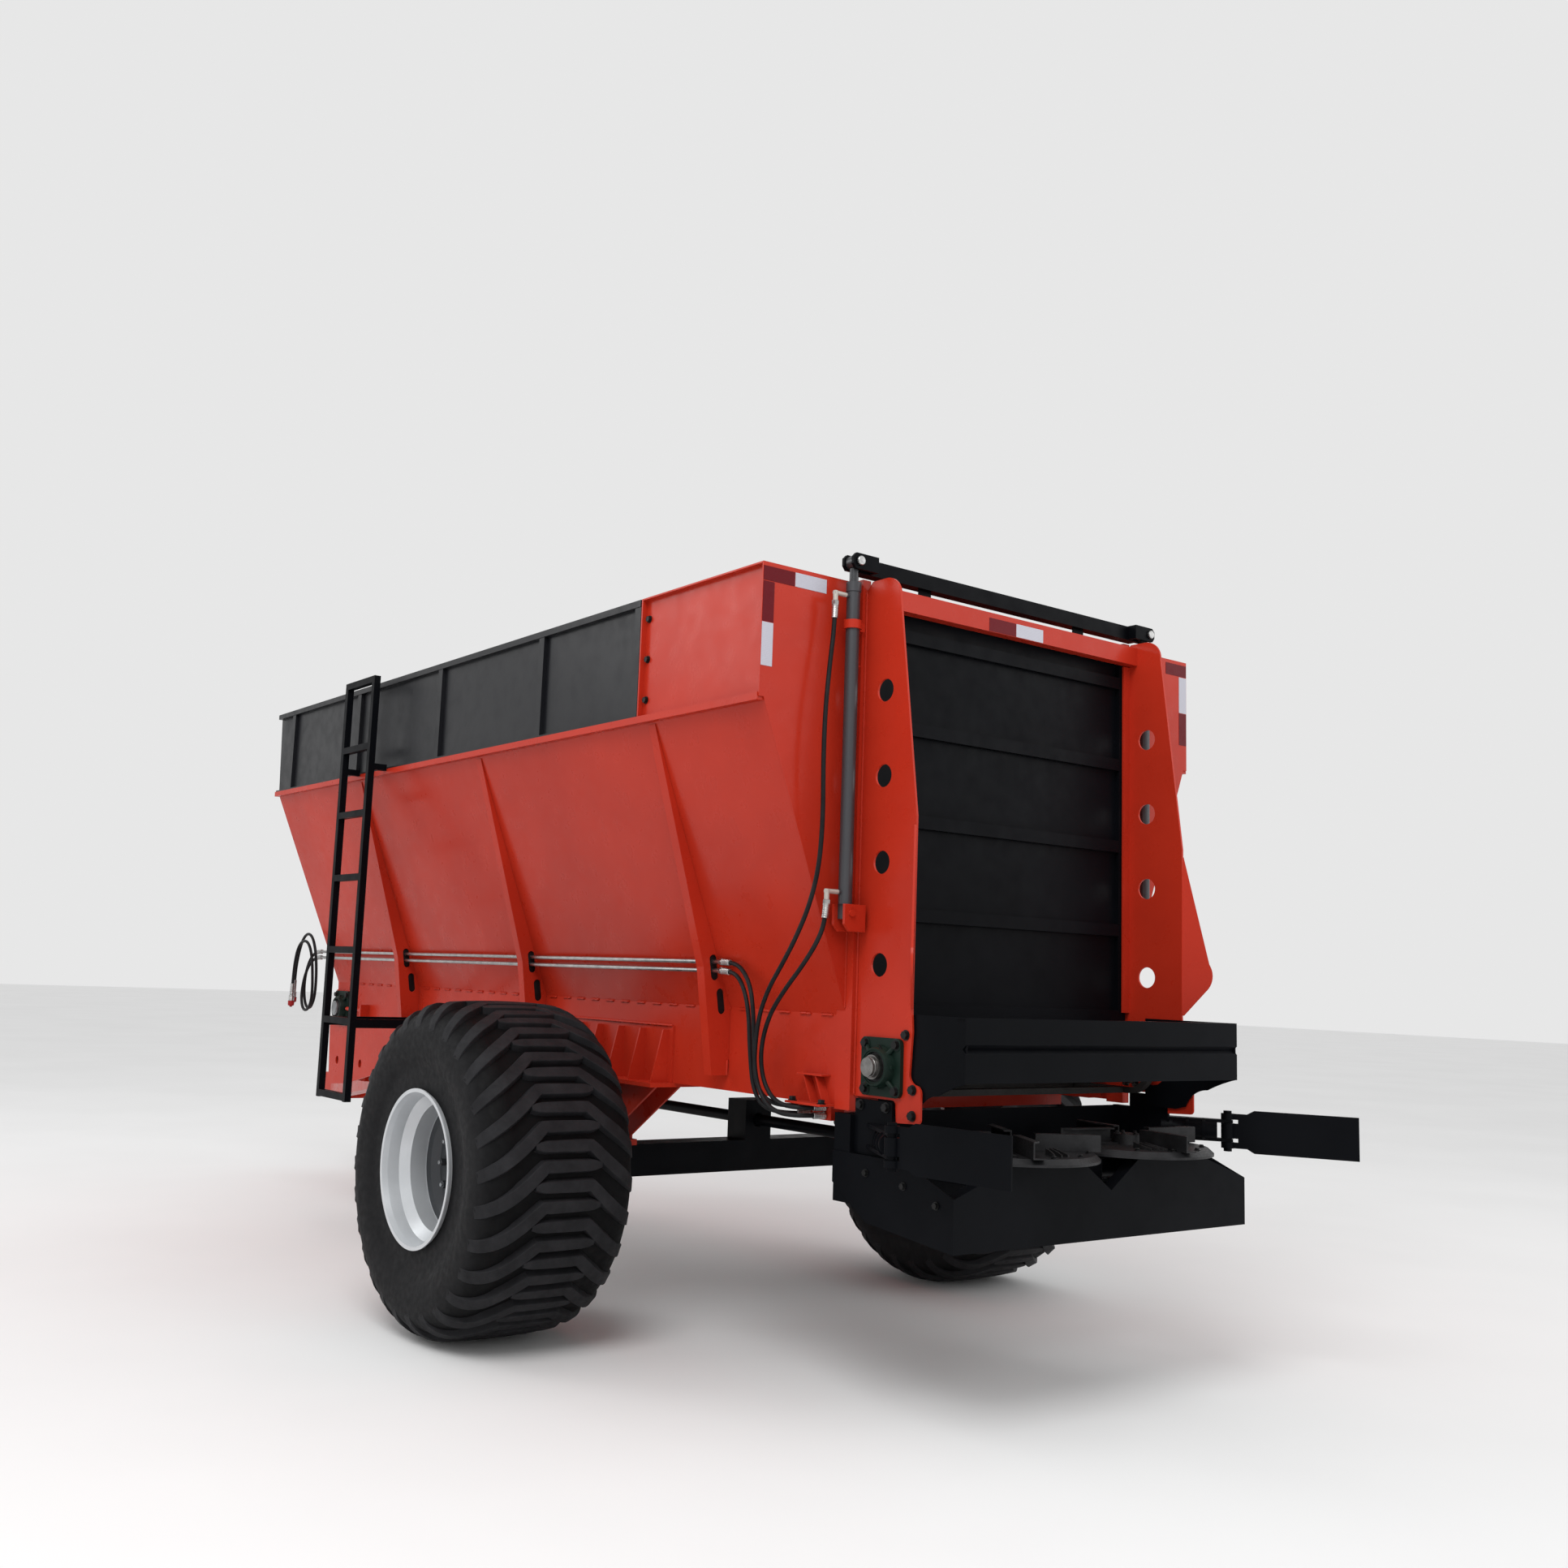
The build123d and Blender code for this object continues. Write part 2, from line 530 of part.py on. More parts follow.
# ---- rear gate and its lift ---------------------------------------------------------------------------------
def gate():
    """Sliding gate panel with cross ribs, and the beam over the hopper that lifts it."""
    edge = post_x[0] - 3.0
    with BuildPart() as panel:
        block((-edge, edge), (-34, -28), (gate_bottom, gate_top + 60))
        for top in (1309, 1645, 1977, 2306, 2639):
            block((-edge, edge), (-55, -33), (top - 47, top))
        for side, _ in SIDES:
            block(sided(side, edge - 40, edge), (-55, -33), (gate_bottom, gate_top + 60))
        for x in (-420, 420):
            block((x - 30, x + 30), (-34, -28), (gate_top + 60, beam_height - 30))
    save(panel, "gate_panel")
    with BuildPart() as beam:
        reach = lift_x - 28
        block((-reach, reach), (-56, -8), (beam_height - 29.5, beam_height + 26))
        for side, _ in SIDES:
            for station in (-94, -44):
                lug = outline(cross_plane(station), *[(side * x, z) for x, z in (
                    (reach - 60, beam_height - 28), (lift_x + 18, beam_height - 28), (lift_x + 30, beam_height - 12),
                    (lift_x + 30, beam_height + 14), (lift_x + 16, beam_height + 28),
                    (reach - 60, beam_height + 28))])
                extrude(lug, amount=-12)
            block(sided(side, reach - 60, reach - 50), (-94, -32), (beam_height - 28, beam_height + 28))
            bar_along_y(-100, -26, side * lift_x, beam_height, 13)
    save(beam, "lift_beam")


def lift_cylinder(side, name):
    """Cylinder barrel with its lower eye and ports, and the rod with its upper eye."""
    x = side * lift_x
    with BuildPart() as barrel:
        bar_along_z(barrel_low, barrel_high, x, lift_station, barrel_radius)
        bar_along_z(barrel_low + 18, barrel_high + 1, x, lift_station, barrel_radius - barrel_wall, Mode.SUBTRACT)
        bar_along_z(barrel_high - 34, barrel_high, x, lift_station, barrel_radius + 3)
        bar_along_z(barrel_high - 36, barrel_high + 1, x, lift_station, rod_radius + running_gap, Mode.SUBTRACT)
        bar_along_z(barrel_low + 18, barrel_high - 34, x, lift_station, barrel_radius - barrel_wall, Mode.SUBTRACT)
        block(sided(side, lift_x - 14, lift_x + 14), (lift_station - 20, lift_station + 20), (1590, barrel_low + 2))
        for height in (low_port, high_port):
            bar_along_x(side * (lift_x + barrel_radius - 2), side * (lift_x + port_reach + 7), lift_station, height, 8)
            bar_along_z(height - 40, height + 7, side * (lift_x + port_reach), lift_station, 9)
    save(barrel, f"cylinder_barrel_{name}")
    with BuildPart() as piston_rod:
        bar_along_z(barrel_low + 30, beam_height - 24, x, lift_station, rod_radius)
        bar_along_z(barrel_low + 30, barrel_low + 70, x, lift_station, barrel_radius - barrel_wall - running_gap)
        bar_along_y(lift_station - 18, lift_station + 18, x, beam_height, 25)
        bar_along_y(lift_station - 19, lift_station + 19, x, beam_height, 13 + running_gap, Mode.SUBTRACT)
    save(piston_rod, f"cylinder_rod_{name}")


# ---- spreading deck -----------------------------------------------------------------------------------------
def hood():
    """Black hood behind the gate that turns the material down onto the discs, with a pressed groove."""
    back, half = -556.0, 701.0
    with BuildPart() as rear_hood:
        face = [(back, 1077), (back, 1168), (back + 14, 1183), (back, 1198), (back, 1282)]
        inside = [(station + 5, z) for station, z in reversed(face)]
        extrude(outline(side_plane(-half), *face, *inside), amount=2 * half)
        block((-half, half), (back, back + 42), (1277, 1282))
        for side, _ in SIDES:
            with BuildSketch(side_plane(side * (half - 5))) as cheek_side:
                with BuildLine():
                    Polyline((back + 2, 1077), (back + 2, 1282), (-150, 1282), (-150, 950), (-290, 950),
                             (-335, 962))
                    ThreePointArc((-335, 962), (-372, 1010), (-432, 1030))
                    Spline((-432, 1030), (-480, 1052), (back + 2, 1077))
                make_face()
                with Locations((drive_station, drive_height)):
                    SlotOverall(150, 120, rotation=90, mode=Mode.SUBTRACT)
            extrude(cheek_side.sketch, amount=-side * 5)
    save(rear_hood, "discharge_hood")


def lower_guard():
    """Apron round the back of the discs: rear panel with a notched, folded upper edge, and two side panels."""
    back, half, low = -555.0, 742.0, 562.0
    crest = [(half, 728), (470, 820), (150, 822), (0, 720)]
    top = crest + [(-x, z) for x, z in reversed(crest[:-1])]
    with BuildPart() as guard:
        extrude(outline(cross_plane(back), (half, low), *top, (-half, low)), amount=-5)
        for (x0, z0), (x1, z1) in zip(top, top[1:]):
            lip = outline(cross_plane(back), (x0, z0), (x1, z1), (x1, z1 - 5), (x0, z0 - 5))
            extrude(lip, amount=-46)
        for side, _ in SIDES:
            panel = outline(side_plane(side * half), (back, low), (-150, low + 40), (20, low + 150), (20, 815),
                            (-330, 815), (back, 728))
            extrude(panel, amount=-side * 5)
    save(guard, "lower_guard")


def deck():
    """Carrier of the spreading deck: crossbeam, apron, end plates, hangers from the cheeks and the wings' arms."""
    inboard, outboard = cheek_x[1] + fit_gap, cheek_x[1] + 11
    with BuildPart() as carrier:
        block((-734, 734), (-60, 20), (650, 712))
        block((-inboard, inboard), (12, 20), (711, 938))
        bar_along_y(0, 30, 0, drive_line_height, 30, Mode.SUBTRACT)
        for side, _ in SIDES:
            block(sided(side, inboard, outboard), (-243, -62), (815, 994))
            block(sided(side, inboard, 737), (-60, 20), (650, 940))
            block(sided(side, cheek_x[1] + 3, outboard), (-243, 20), (815, 940))
            block(sided(side, 240, 366), (disc_station - 60, -55), (711, 719))
            block(sided(side, 0, 241), (disc_station - 20, disc_station + 20), (711, 715))
            for height in (905, 835):
                fork = outline(level_plane(height), *[(side * x, y) for x, y in (
                    (717, -120), (717, -243), (wing_pin_x, wing_pin_station - 24),
                    (wing_pin_x, wing_pin_station + 24))])
                extrude(fork, amount=12)
            wing_arm(side, outboard - 1)
            bar_along_z(800, 950, side * wing_pin_x, wing_pin_station, 15)
    save(carrier, "spreader_deck")


def wing_arm(side, root_x):
    """Stout tube with collars between the two fork plates that hold a deflector wing's pin."""
    height, stop = 876, 38
    root = Vector(root_x, -205)
    run = Vector(wing_pin_x, wing_pin_station) - root
    heading = run.normalized()

    def along(distance):
        here = root + heading * distance
        return spot(side * here.X, here.Y, height)

    rod(along(0), along(run.length - stop), 36)
    for distance in (30, 90, 150):
        rod(along(distance), along(distance + 12), 42)


def gearboxes():
    """Centre bevel box, the cross shaft tubes and a bevel box under each disc."""
    with BuildPart() as boxes:
        for side, _ in SIDES:
            with BuildSketch(level_plane(720)) as base:
                with Locations((side * disc_x, disc_station)):
                    RectangleRounded(150, 150, 24)
            extrude(base.sketch, amount=86, taper=6)
            bar_along_x(*sided(side, 60, disc_x - 60), disc_station, drive_line_height, 34)
        with BuildSketch(level_plane(716)) as base:
            with Locations((0, disc_station)):
                RectangleRounded(140, 170, 24)
        extrude(base.sketch, amount=98)
        bar_along_y(disc_station + 80, disc_station + 120, 0, drive_line_height, 48)
        for side, _ in SIDES:
            bar_along_z(719, 815, side * disc_x, disc_station, 22 + running_gap, Mode.SUBTRACT)
    save(boxes, "gearboxes")


def disc(side, name):
    """Spinning disc with a bevelled rim on its spindle, and the four bolted channel vanes."""
    spindle = spot(side * disc_x, disc_station, 0)
    with BuildPart() as plate_disc:
        with BuildSketch(Plane(origin=spindle, x_dir=(1, 0, 0), z_dir=(0, -1, 0))) as section:
            with BuildLine():
                Polyline((0, 728), (22, 728), (22, 816), (90, 816), (90, 836), (270, 836), (disc_radius, 822),
                         (disc_radius, 830), (272, disc_top), (62, disc_top), (55, 880), (0, 880), close=True)
            make_face()
        revolve(section.sketch, axis=Axis(spindle, (0, 0, 1)))
    save(plate_disc, f"disc_{name}")
    with BuildPart() as vanes:
        for i in range(4):
            turn = (-98 if side > 0 else -120) + 90 * i
            arm = Plane(origin=spindle, x_dir=(cos(radians(turn)), sin(radians(turn)), 0), z_dir=(0, 0, 1))
            low = disc_top + fit_gap
            for y0, y1, z1 in ((-22, 22, low + 5), (-22, -17, low + vane_height)):
                face = outline(arm.offset(low), (74, y0), (vane_tip, y0), (vane_tip, y1), (74, y1))
                extrude(face, amount=z1 - low)
            face = outline(arm.offset(low + vane_height - 5), (74, -22), (vane_tip, -22), (vane_tip - 30, 6), (74, 6))
            extrude(face, amount=5)
    save(vanes, f"vanes_{name}")


def wing(side, name):
    """Deflector wing: a plate with a narrow neck on an upright hinge barrel."""
    angle = radians(wing_splay if side > 0 else -wing_toe_in)
    pin = spot(side * wing_pin_x, wing_pin_station, 0)
    along = (side * sin(angle), -cos(angle), 0)
    face_plane = Plane(origin=pin, x_dir=along, z_dir=Vector(*along).cross(Vector(0, 0, 1)))
    reach = wing_length
    with BuildPart() as deflector:
        face = outline(face_plane, (22, 812), (70, 812), (96, wing_low), (reach, wing_low), (reach, wing_high),
                       (96, wing_high), (70, 940), (22, 940))
        extrude(face, amount=wing_plate / 2, both=True)
        for low, high in ((834, 848), (904, 918)):
            block(sided(side, wing_pin_x - 34, wing_pin_x + 34), (wing_pin_station - 34, wing_pin_station + 34),
                  (low, high), mode=Mode.SUBTRACT)
        for low, high in ((812, 834), (848, 904), (918, 940)):
            bar_along_z(low, high, side * wing_pin_x, wing_pin_station, 24)
        for low, high in ((812, 834), (848, 904), (918, 940)):
            bar_along_z(low - 1, high + 1, side * wing_pin_x, wing_pin_station, 15 + running_gap, Mode.SUBTRACT)
    save(deflector, f"wing_{name}")


def drive_line():
    """Drive shaft under the body with its front stub, from the hitch end to the centre gearbox."""
    with BuildPart() as shaft:
        bar_along_y(disc_station + 122, 5200, 0, drive_line_height, 24)
        bar_along_y(5200, 5290, 0, drive_line_height, 17.4)
        for station in (700, 2700, 4700):
            bar_along_y(station - 45, station + 45, 0, drive_line_height, 38)
    save(shaft, "drive_shaft_line")


# ---- access, pipes and hoses --------------------------------------------------------------------------------
def ladder():
    """Box-section ladder standing off the left side, with the bars that carry it from the frame plate."""
    x0, x1, rear, front = -1246.0, -1214.0, 2992.0, 3350.0
    with BuildPart() as steps:
        for station in (rear, front - 30):
            block((x0, x1), (station, station + 30), (722, 2788))
        for height in (742, 1099, 1441, 1795, 2109, 2439, 2772):
            block((x0, x1), (rear + 28, front - 28), (height - 16, height + 16))
        block((x1 - 2, -(trough_x + plate + 2 * fit_gap)), (rear, rear + 30), (1070, 1112))
        block((x1 - 2, -(trough_x + plate + 2 * fit_gap)), (front - 30, front), (1070, 1112))
        block((x1 - 2, -(top_x + 4 + fit_gap)), (rear, rear + 30), (2322, 2352))
        block((x1 - 2, -(top_x + 4 + fit_gap)), (front - 30, front), (2322, 2352))
    save(steps, "ladder")


def side_pipes():
    """Two steel pipes along the left side, with a clamp at each rib."""
    with BuildPart() as pipes:
        for height in (1435, 1402):
            bar_along_y(600, 4520, -810, height, 8)
        for station in (2110, 3440):
            block((-822, -798), (station, station + 24), (1385, 1452))
    save(pipes, "side_pipes")


def arc_radii(points):
    """Tangent-arc radius at each inner point: 0.45 of its shorter run over the tangent of half its turn."""
    found = []
    for before, here, after in zip(points, points[1:], points[2:]):
        one, two = Vector(*here) - Vector(*before), Vector(*after) - Vector(*here)
        found.append(0.45 * min(one.length, two.length) / tan(radians(one.get_angle(two)) / 2))
    return found


def hose(label, radius, route):
    """Round hose: straight runs joined by tangent arcs."""
    points = [spot(*point) for point in route]
    radii = arc_radii(points)
    with BuildPart() as tube:
        with BuildLine() as line:
            FilletPolyline(*points, radius=radii)
        with BuildSketch(Plane(origin=line.line @ 0, z_dir=line.line % 0)):
            Circle(radius)
        sweep()
    length = sum(edge.length for edge in line.line.edges())
    ratio = tube.part.volume / (pi * radius**2 * length)
    print(label, "length", round(length), "volume ratio", round(ratio, 4),
          "radii", [round(r) for r in radii])
    save(tube, label)


# Routes as (x, station, height), from the cylinder's ports, the pipes' ends and back to the manifold block.
lift_hose_upper = [
    (-872, -63, 2672), (-874, -64, 2590), (-893, -68, 2455), (-912, -74, 2290), (-917, -78, 2110),
    (-909, -76, 1930), (-911, -66, 1760), (-928, -40, 1625), (-938, 20, 1510), (-920, 110, 1425),
    (-890, 215, 1345), (-858, 302, 1255), (-842, 340, 1160), (-840, 345, 1075), (-838, 322, 1000),
    (-837, 272, 945), (-831, 210, 922), (-808, 160, 918), (-764, 131, 918), (-690, 125, 918),
]
lift_hose_lower = [
    (-872, -63, 1640), (-874, -61, 1575), (-893, -40, 1500), (-905, 22, 1420), (-893, 120, 1345),
    (-862, 232, 1265), (-830, 310, 1185), (-817, 340, 1105), (-815, 325, 1030), (-814, 282, 975),
    (-812, 222, 949), (-794, 164, 944), (-752, 130, 944), (-690, 125, 944),
]
supply_hose_upper = [
    (-810, 600, 1435), (-811, 530, 1434), (-815, 465, 1410), (-823, 405, 1350), (-828, 378, 1265),
    (-826, 372, 1180), (-822, 368, 1095), (-821, 362, 1026), (-815, 326, 970), (-804, 268, 946),
    (-757, 215, 944), (-690, 205, 944),
]
supply_hose_lower = [
    (-810, 600, 1402), (-811, 545, 1401), (-813, 490, 1382), (-820, 438, 1325), (-825, 406, 1245),
    (-824, 399, 1160), (-820, 392, 1080), (-818, 378, 1002), (-812, 344, 945), (-801, 280, 921),
    (-760, 222, 918), (-690, 205, 918),
]
front_hose_upper = [
    (-810, 4520, 1435), (-812, 4588, 1434), (-820, 4650, 1398), (-828, 4685, 1322), (-832, 4690, 1235),
    (-834, 4668, 1163), (-838, 4614, 1112), (-842, 4540, 1112), (-847, 4482, 1166), (-852, 4460, 1245),
    (-856, 4460, 1340), (-860, 4480, 1438), (-864, 4525, 1513), (-867, 4590, 1540), (-869, 4655, 1514),
    (-870, 4700, 1450), (-871, 4728, 1370), (-871, 4740, 1290), (-871, 4741, 1215),
]
front_hose_lower = [
    (-810, 4520, 1402), (-815, 4580, 1401), (-828, 4635, 1366), (-842, 4664, 1298), (-852, 4667, 1218),
    (-857, 4652, 1150), (-863, 4600, 1102), (-867, 4530, 1098), (-871, 4468, 1140), (-876, 4446, 1215),
    (-880, 4450, 1300), (-883, 4464, 1385), (-887, 4496, 1457), (-890, 4550, 1494), (-893, 4618, 1490),
    (-895, 4668, 1448), (-896, 4694, 1378), (-896, 4706, 1290), (-896, 4707, 1195),
]


def couplers():
    """Quick coupler and round dust cap on the end of each front hose."""
    with BuildPart() as ends:
        for x, station, height in (front_hose_upper[-1], front_hose_lower[-1]):
            with BuildSketch(Plane(origin=spot(x, station, height - 34))) as hexagon:
                RegularPolygon(15, 6)
            bar_along_z(height - 60, height, x, station, 12)
            extrude(hexagon.sketch, amount=26)
            bar_along_z(height - 84, height - 60, x, station, 19)
    save(ends, "hose_couplers")


def hex_bolt(x, station, height, side, size=24):
    """Bolt head with its washer, standing out sideways from a plate's outer face."""
    with BuildSketch(side_plane(side * x)) as washer:
        with Locations((station, height)):
            Circle(size * 0.72)
    extrude(washer.sketch, amount=side * 3)
    with BuildSketch(side_plane(side * (x + 3))) as head:
        with Locations((station, height)):
            RegularPolygon(size / 2, 6, major_radius=False)
    extrude(head.sketch, amount=side * size * 0.42)


def fasteners():
    """Bolt heads of the bearings, cheeks, boards and guard, one solid each."""
    reach = bearing_bolts / 2
    seats = [(drive_station, drive_height, cheek_x[1] + fit_gap), (idler_station, idler_height, trough_x + 9)]
    with BuildPart() as bolts:
        for side, _ in SIDES:
            for station, height, face in seats:
                for i in (-reach, reach):
                    for j in (-reach, reach):
                        hex_bolt(face + bearing_foot + fit_gap, station + i, height + j, side)
            for station, height in ((-290, 1214), (-327, 1040), (-327, 958)):
                hex_bolt(cheek_x[1] + fit_gap, station, height, side)
            for station in (-215, -90):
                hex_bolt(cheek_x[1] + 11 + fit_gap, station, 975, side)
            for height in (2395, 2550, 2705):
                hex_bolt(rail_x + fit_gap, joint_station - 36, height, side, 20)
            for station, height in ((-480, 700), (-330, 740), (-150, 760)):
                hex_bolt(742 + fit_gap, station, height, side, 18)
    save(bolts, "fasteners")


# ---- build --------------------------------------------------------------------------------------------------
for side, name in SIDES:
    hopper_wall(side, name)
    rear_panel(side, name)
    cheek(side, name)
    side_ribs(side, name)
    extension_board(side, name)
    frame_plate(side, name)
    axle_bracket(side, name)
    wheel(side, name)
    lift_cylinder(side, name)
    disc(side, name)
    wing(side, name)
hopper_ends()
conveyor()
conveyor_shaft("drive_shaft", drive_station, drive_height, 782, 741.5 + fit_gap)
conveyor_shaft("idler_shaft", idler_station, idler_height, 790, trough_x + 9 + 34 + 2)
shaft_bearings()
frame_members()
axle()
drawbar()
jack()
gate()
hood()
lower_guard()
deck()
gearboxes()
drive_line()
ladder()
side_pipes()
hose("lift_hose_upper", 8, lift_hose_upper)
hose("lift_hose_lower", 8, lift_hose_lower)
hose("supply_hose_upper", 8, supply_hose_upper)
hose("supply_hose_lower", 8, supply_hose_lower)
hose("front_hose_upper", 8, front_hose_upper)
hose("front_hose_lower", 8, front_hose_lower)
couplers()
fasteners()
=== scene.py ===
import json
import math

import bpy
from mathutils import Matrix, Vector


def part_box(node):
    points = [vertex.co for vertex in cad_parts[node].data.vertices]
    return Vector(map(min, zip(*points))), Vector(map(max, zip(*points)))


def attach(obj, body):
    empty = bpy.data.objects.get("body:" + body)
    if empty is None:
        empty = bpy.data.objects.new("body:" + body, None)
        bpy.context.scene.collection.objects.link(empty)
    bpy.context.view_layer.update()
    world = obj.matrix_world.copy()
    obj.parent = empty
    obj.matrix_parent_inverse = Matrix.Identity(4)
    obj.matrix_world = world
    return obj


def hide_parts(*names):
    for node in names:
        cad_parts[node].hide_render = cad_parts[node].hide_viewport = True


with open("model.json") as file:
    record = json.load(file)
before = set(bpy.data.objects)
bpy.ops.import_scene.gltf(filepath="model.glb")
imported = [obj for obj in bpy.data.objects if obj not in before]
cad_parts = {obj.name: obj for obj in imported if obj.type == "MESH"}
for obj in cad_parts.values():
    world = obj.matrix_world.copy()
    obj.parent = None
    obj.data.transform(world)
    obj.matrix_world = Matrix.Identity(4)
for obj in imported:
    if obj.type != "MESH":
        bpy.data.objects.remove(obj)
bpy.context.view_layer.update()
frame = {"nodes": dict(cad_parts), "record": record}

WALL_FOOT = 0.960                                     # height of the hopper walls' lower edge
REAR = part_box("hopper_wall_left")[0].y                # station 0: the hopper's rear wall
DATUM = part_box("hopper_wall_left")[0].z - WALL_FOOT   # level that heights are measured from
MM = 0.001
SIDES = ((-1, "left"), (1, "right"))

# Places in millimetres, as part.py has them.
RIB_STATIONS = (655, 2045, 3365)
RIB_THICKNESS = 6                                     # from the rib's station forwards
WHEEL_X, AXLE_STATION, AXLE_HEIGHT = 1283, 1456, 616
DRIVE_STATION, DRIVE_HEIGHT = -185, 1105              # conveyor's drive shaft
IDLER_STATION, IDLER_HEIGHT = 4325, 1122
DISC_X, DISC_STATION, DISC_TOP, HUB_TOP = 303, -385, 846, 880
LIFT_PIN_X, LIFT_PIN_HEIGHT = 790, 2835


def at(x, station, height):
    """Point in metres from millimetres: x to the right, station forward of the hopper's rear wall, height."""
    return Vector((x * MM, REAR + station * MM, DATUM + height * MM))


# ---- materials ----------------------------------------------------------------------------------------------
class Shader:
    """Short way to write a node graph around one Principled shader, in object coordinates."""

    MIX_INPUTS = {"factor": 0, "one": 6, "two": 7}         # sockets of a Mix node that mixes colours
    MIX_COLOUR_OUTPUT = 2

    def __init__(self, name):
        self.material = bpy.data.materials.new(name)
        self.material.use_nodes = True
        self.nodes = self.material.node_tree.nodes
        self.links = self.material.node_tree.links
        self.bsdf = self.nodes["Principled BSDF"]
        self.coords = self.nodes.new("ShaderNodeTexCoord").outputs["Object"]

    def set(self, **values):
        """Uniform values of the shader, with underscores for the spaces in socket names."""
        for name, value in values.items():
            self.bsdf.inputs[name.replace("_", " ")].default_value = value

    def link(self, source, socket):
        """Feed one node's output into a socket."""
        self.links.new(source, socket)

    def noise(self, scale, detail=3.0, roughness=0.55):
        """Soft noise around one half."""
        node = self.nodes.new("ShaderNodeTexNoise")
        node.inputs["Scale"].default_value = scale
        node.inputs["Detail"].default_value = detail
        node.inputs["Roughness"].default_value = roughness
        self.link(self.coords, node.inputs["Vector"])
        return node.outputs["Fac"]

    def spread(self, source, low, high, to_low=0.0, to_high=1.0):
        """Map low..high to to_low..to_high, held at both ends."""
        node = self.nodes.new("ShaderNodeMapRange")
        for name, value in zip(("From Min", "From Max", "To Min", "To Max"), (low, high, to_low, to_high)):
            node.inputs[name].default_value = value
        self.link(source, node.inputs["Value"])
        return node.outputs["Result"]

    def times(self, one, two):
        """Product of two nodes' outputs."""
        node = self.nodes.new("ShaderNodeMath")
        node.operation = "MULTIPLY"
        self.link(one, node.inputs[0])
        self.link(two, node.inputs[1])
        return node.outputs[0]

    def mix(self, factor, one, two):
        """Blend of two colours, each a tuple or another node's output."""
        node = self.nodes.new("ShaderNodeMix")
        node.data_type = "RGBA"
        for name, value in (("factor", factor), ("one", one), ("two", two)):
            socket = node.inputs[self.MIX_INPUTS[name]]
            if isinstance(value, tuple):
                socket.default_value = (*value, 1.0)
            else:
                self.link(value, socket)
        return node.outputs[self.MIX_COLOUR_OUTPUT]

    def bump(self, source, strength, distance):
        """Surface relief, on top of any relief added before."""
        node = self.nodes.new("ShaderNodeBump")
        node.inputs["Strength"].default_value = strength
        node.inputs["Distance"].default_value = distance
        self.link(source, node.inputs["Height"])
        previous = self.bsdf.inputs["Normal"]
        if previous.is_linked:
            self.link(previous.links[0].from_socket, node.inputs["Normal"])
        self.link(node.outputs["Normal"], self.bsdf.inputs["Normal"])

    def upward(self):
        """How far a face looks up: 1 on a level top, 0 on an upright wall."""
        geometry = self.nodes.new("ShaderNodeNewGeometry")
        split = self.nodes.new("ShaderNodeSeparateXYZ")
        self.link(geometry.outputs["Normal"], split.inputs[0])
        return split.outputs["Z"]

    def axis_distance(self, point, keep):
        """Distance from a point in object coordinates, with each axis scaled by keep, 0 or 1."""
        shift = self.nodes.new("ShaderNodeVectorMath")
        shift.operation = "SUBTRACT"
        shift.inputs[1].default_value = point
        self.link(self.coords, shift.inputs[0])
        flat = self.nodes.new("ShaderNodeVectorMath")
        flat.operation = "MULTIPLY"
        flat.inputs[1].default_value = keep
        self.link(shift.outputs[0], flat.inputs[0])
        size = self.nodes.new("ShaderNodeVectorMath")
        size.operation = "LENGTH"
        self.link(flat.outputs[0], size.inputs[0])
        return size.outputs["Value"]

    def colour(self, source):
        """Base colour from a node's output."""
        self.link(source, self.bsdf.inputs["Base Color"])

    def bloom(self):
        """Grey patches of weathered rubber."""
        return self.spread(self.noise(11.0, 6.0, 0.7), 0.35, 0.75)

    def rough(self, scale, detail, low, high):
        """Roughness from low to high in noisy patches."""
        self.link(self.spread(self.noise(scale, detail), 0.3, 0.7, low, high), self.bsdf.inputs["Roughness"])


def paint(name, base, deep, roughness, specular=0.4, coat=0.0, dust=0.12):
    """Sprayed paint over plate: slow tone drift, orange peel and a little dust on level faces."""
    s = Shader(name)
    s.set(Coat_Weight=coat, Coat_Roughness=0.15, Specular_IOR_Level=specular)
    tone = s.mix(s.spread(s.noise(1.7, 4.0), 0.35, 0.65), base, deep)
    film = s.times(s.spread(s.upward(), 0.3, 1.0), s.spread(s.noise(9.0, 6.0, 0.65), 0.42, 0.75, 0.0, dust))
    s.colour(s.mix(film, tone, (0.2, 0.16, 0.13)))
    s.rough(14.0, 5.0, roughness - 0.06, roughness + 0.1)
    s.bump(s.noise(420.0, 2.0), 0.1, 0.0005)
    s.bump(s.noise(5.0, 2.0), 0.06, 0.004)
    return s.material


METAL_GRAIN = 160.0          # noise scale of the scratches


def metal(name, base, dark, roughness, metallic=1.0):
    """Bare, plated or worn metal: cloudy tone, fine scratches and patchy gloss."""
    s = Shader(name)
    s.set(Metallic=metallic)
    s.colour(s.mix(s.spread(s.noise(22.0, 5.0), 0.35, 0.7), base, dark))
    s.rough(METAL_GRAIN, 4.0, roughness - 0.08, roughness + 0.14)
    s.bump(s.noise(METAL_GRAIN * 2, 3.0), 0.18, 0.0005)
    return s.material


def rubber(name, base, faded, roughness, grain):
    """Moulded rubber: grey bloom in patches and a fine grain."""
    s = Shader(name)
    s.set(Specular_IOR_Level=0.14)
    s.colour(s.mix(s.bloom(), base, faded))
    s.rough(40.0, 4.0, roughness - 0.1, roughness + 0.08)
    s.bump(s.noise(grain, 4.0), 0.35, 0.0007)
    return s.material


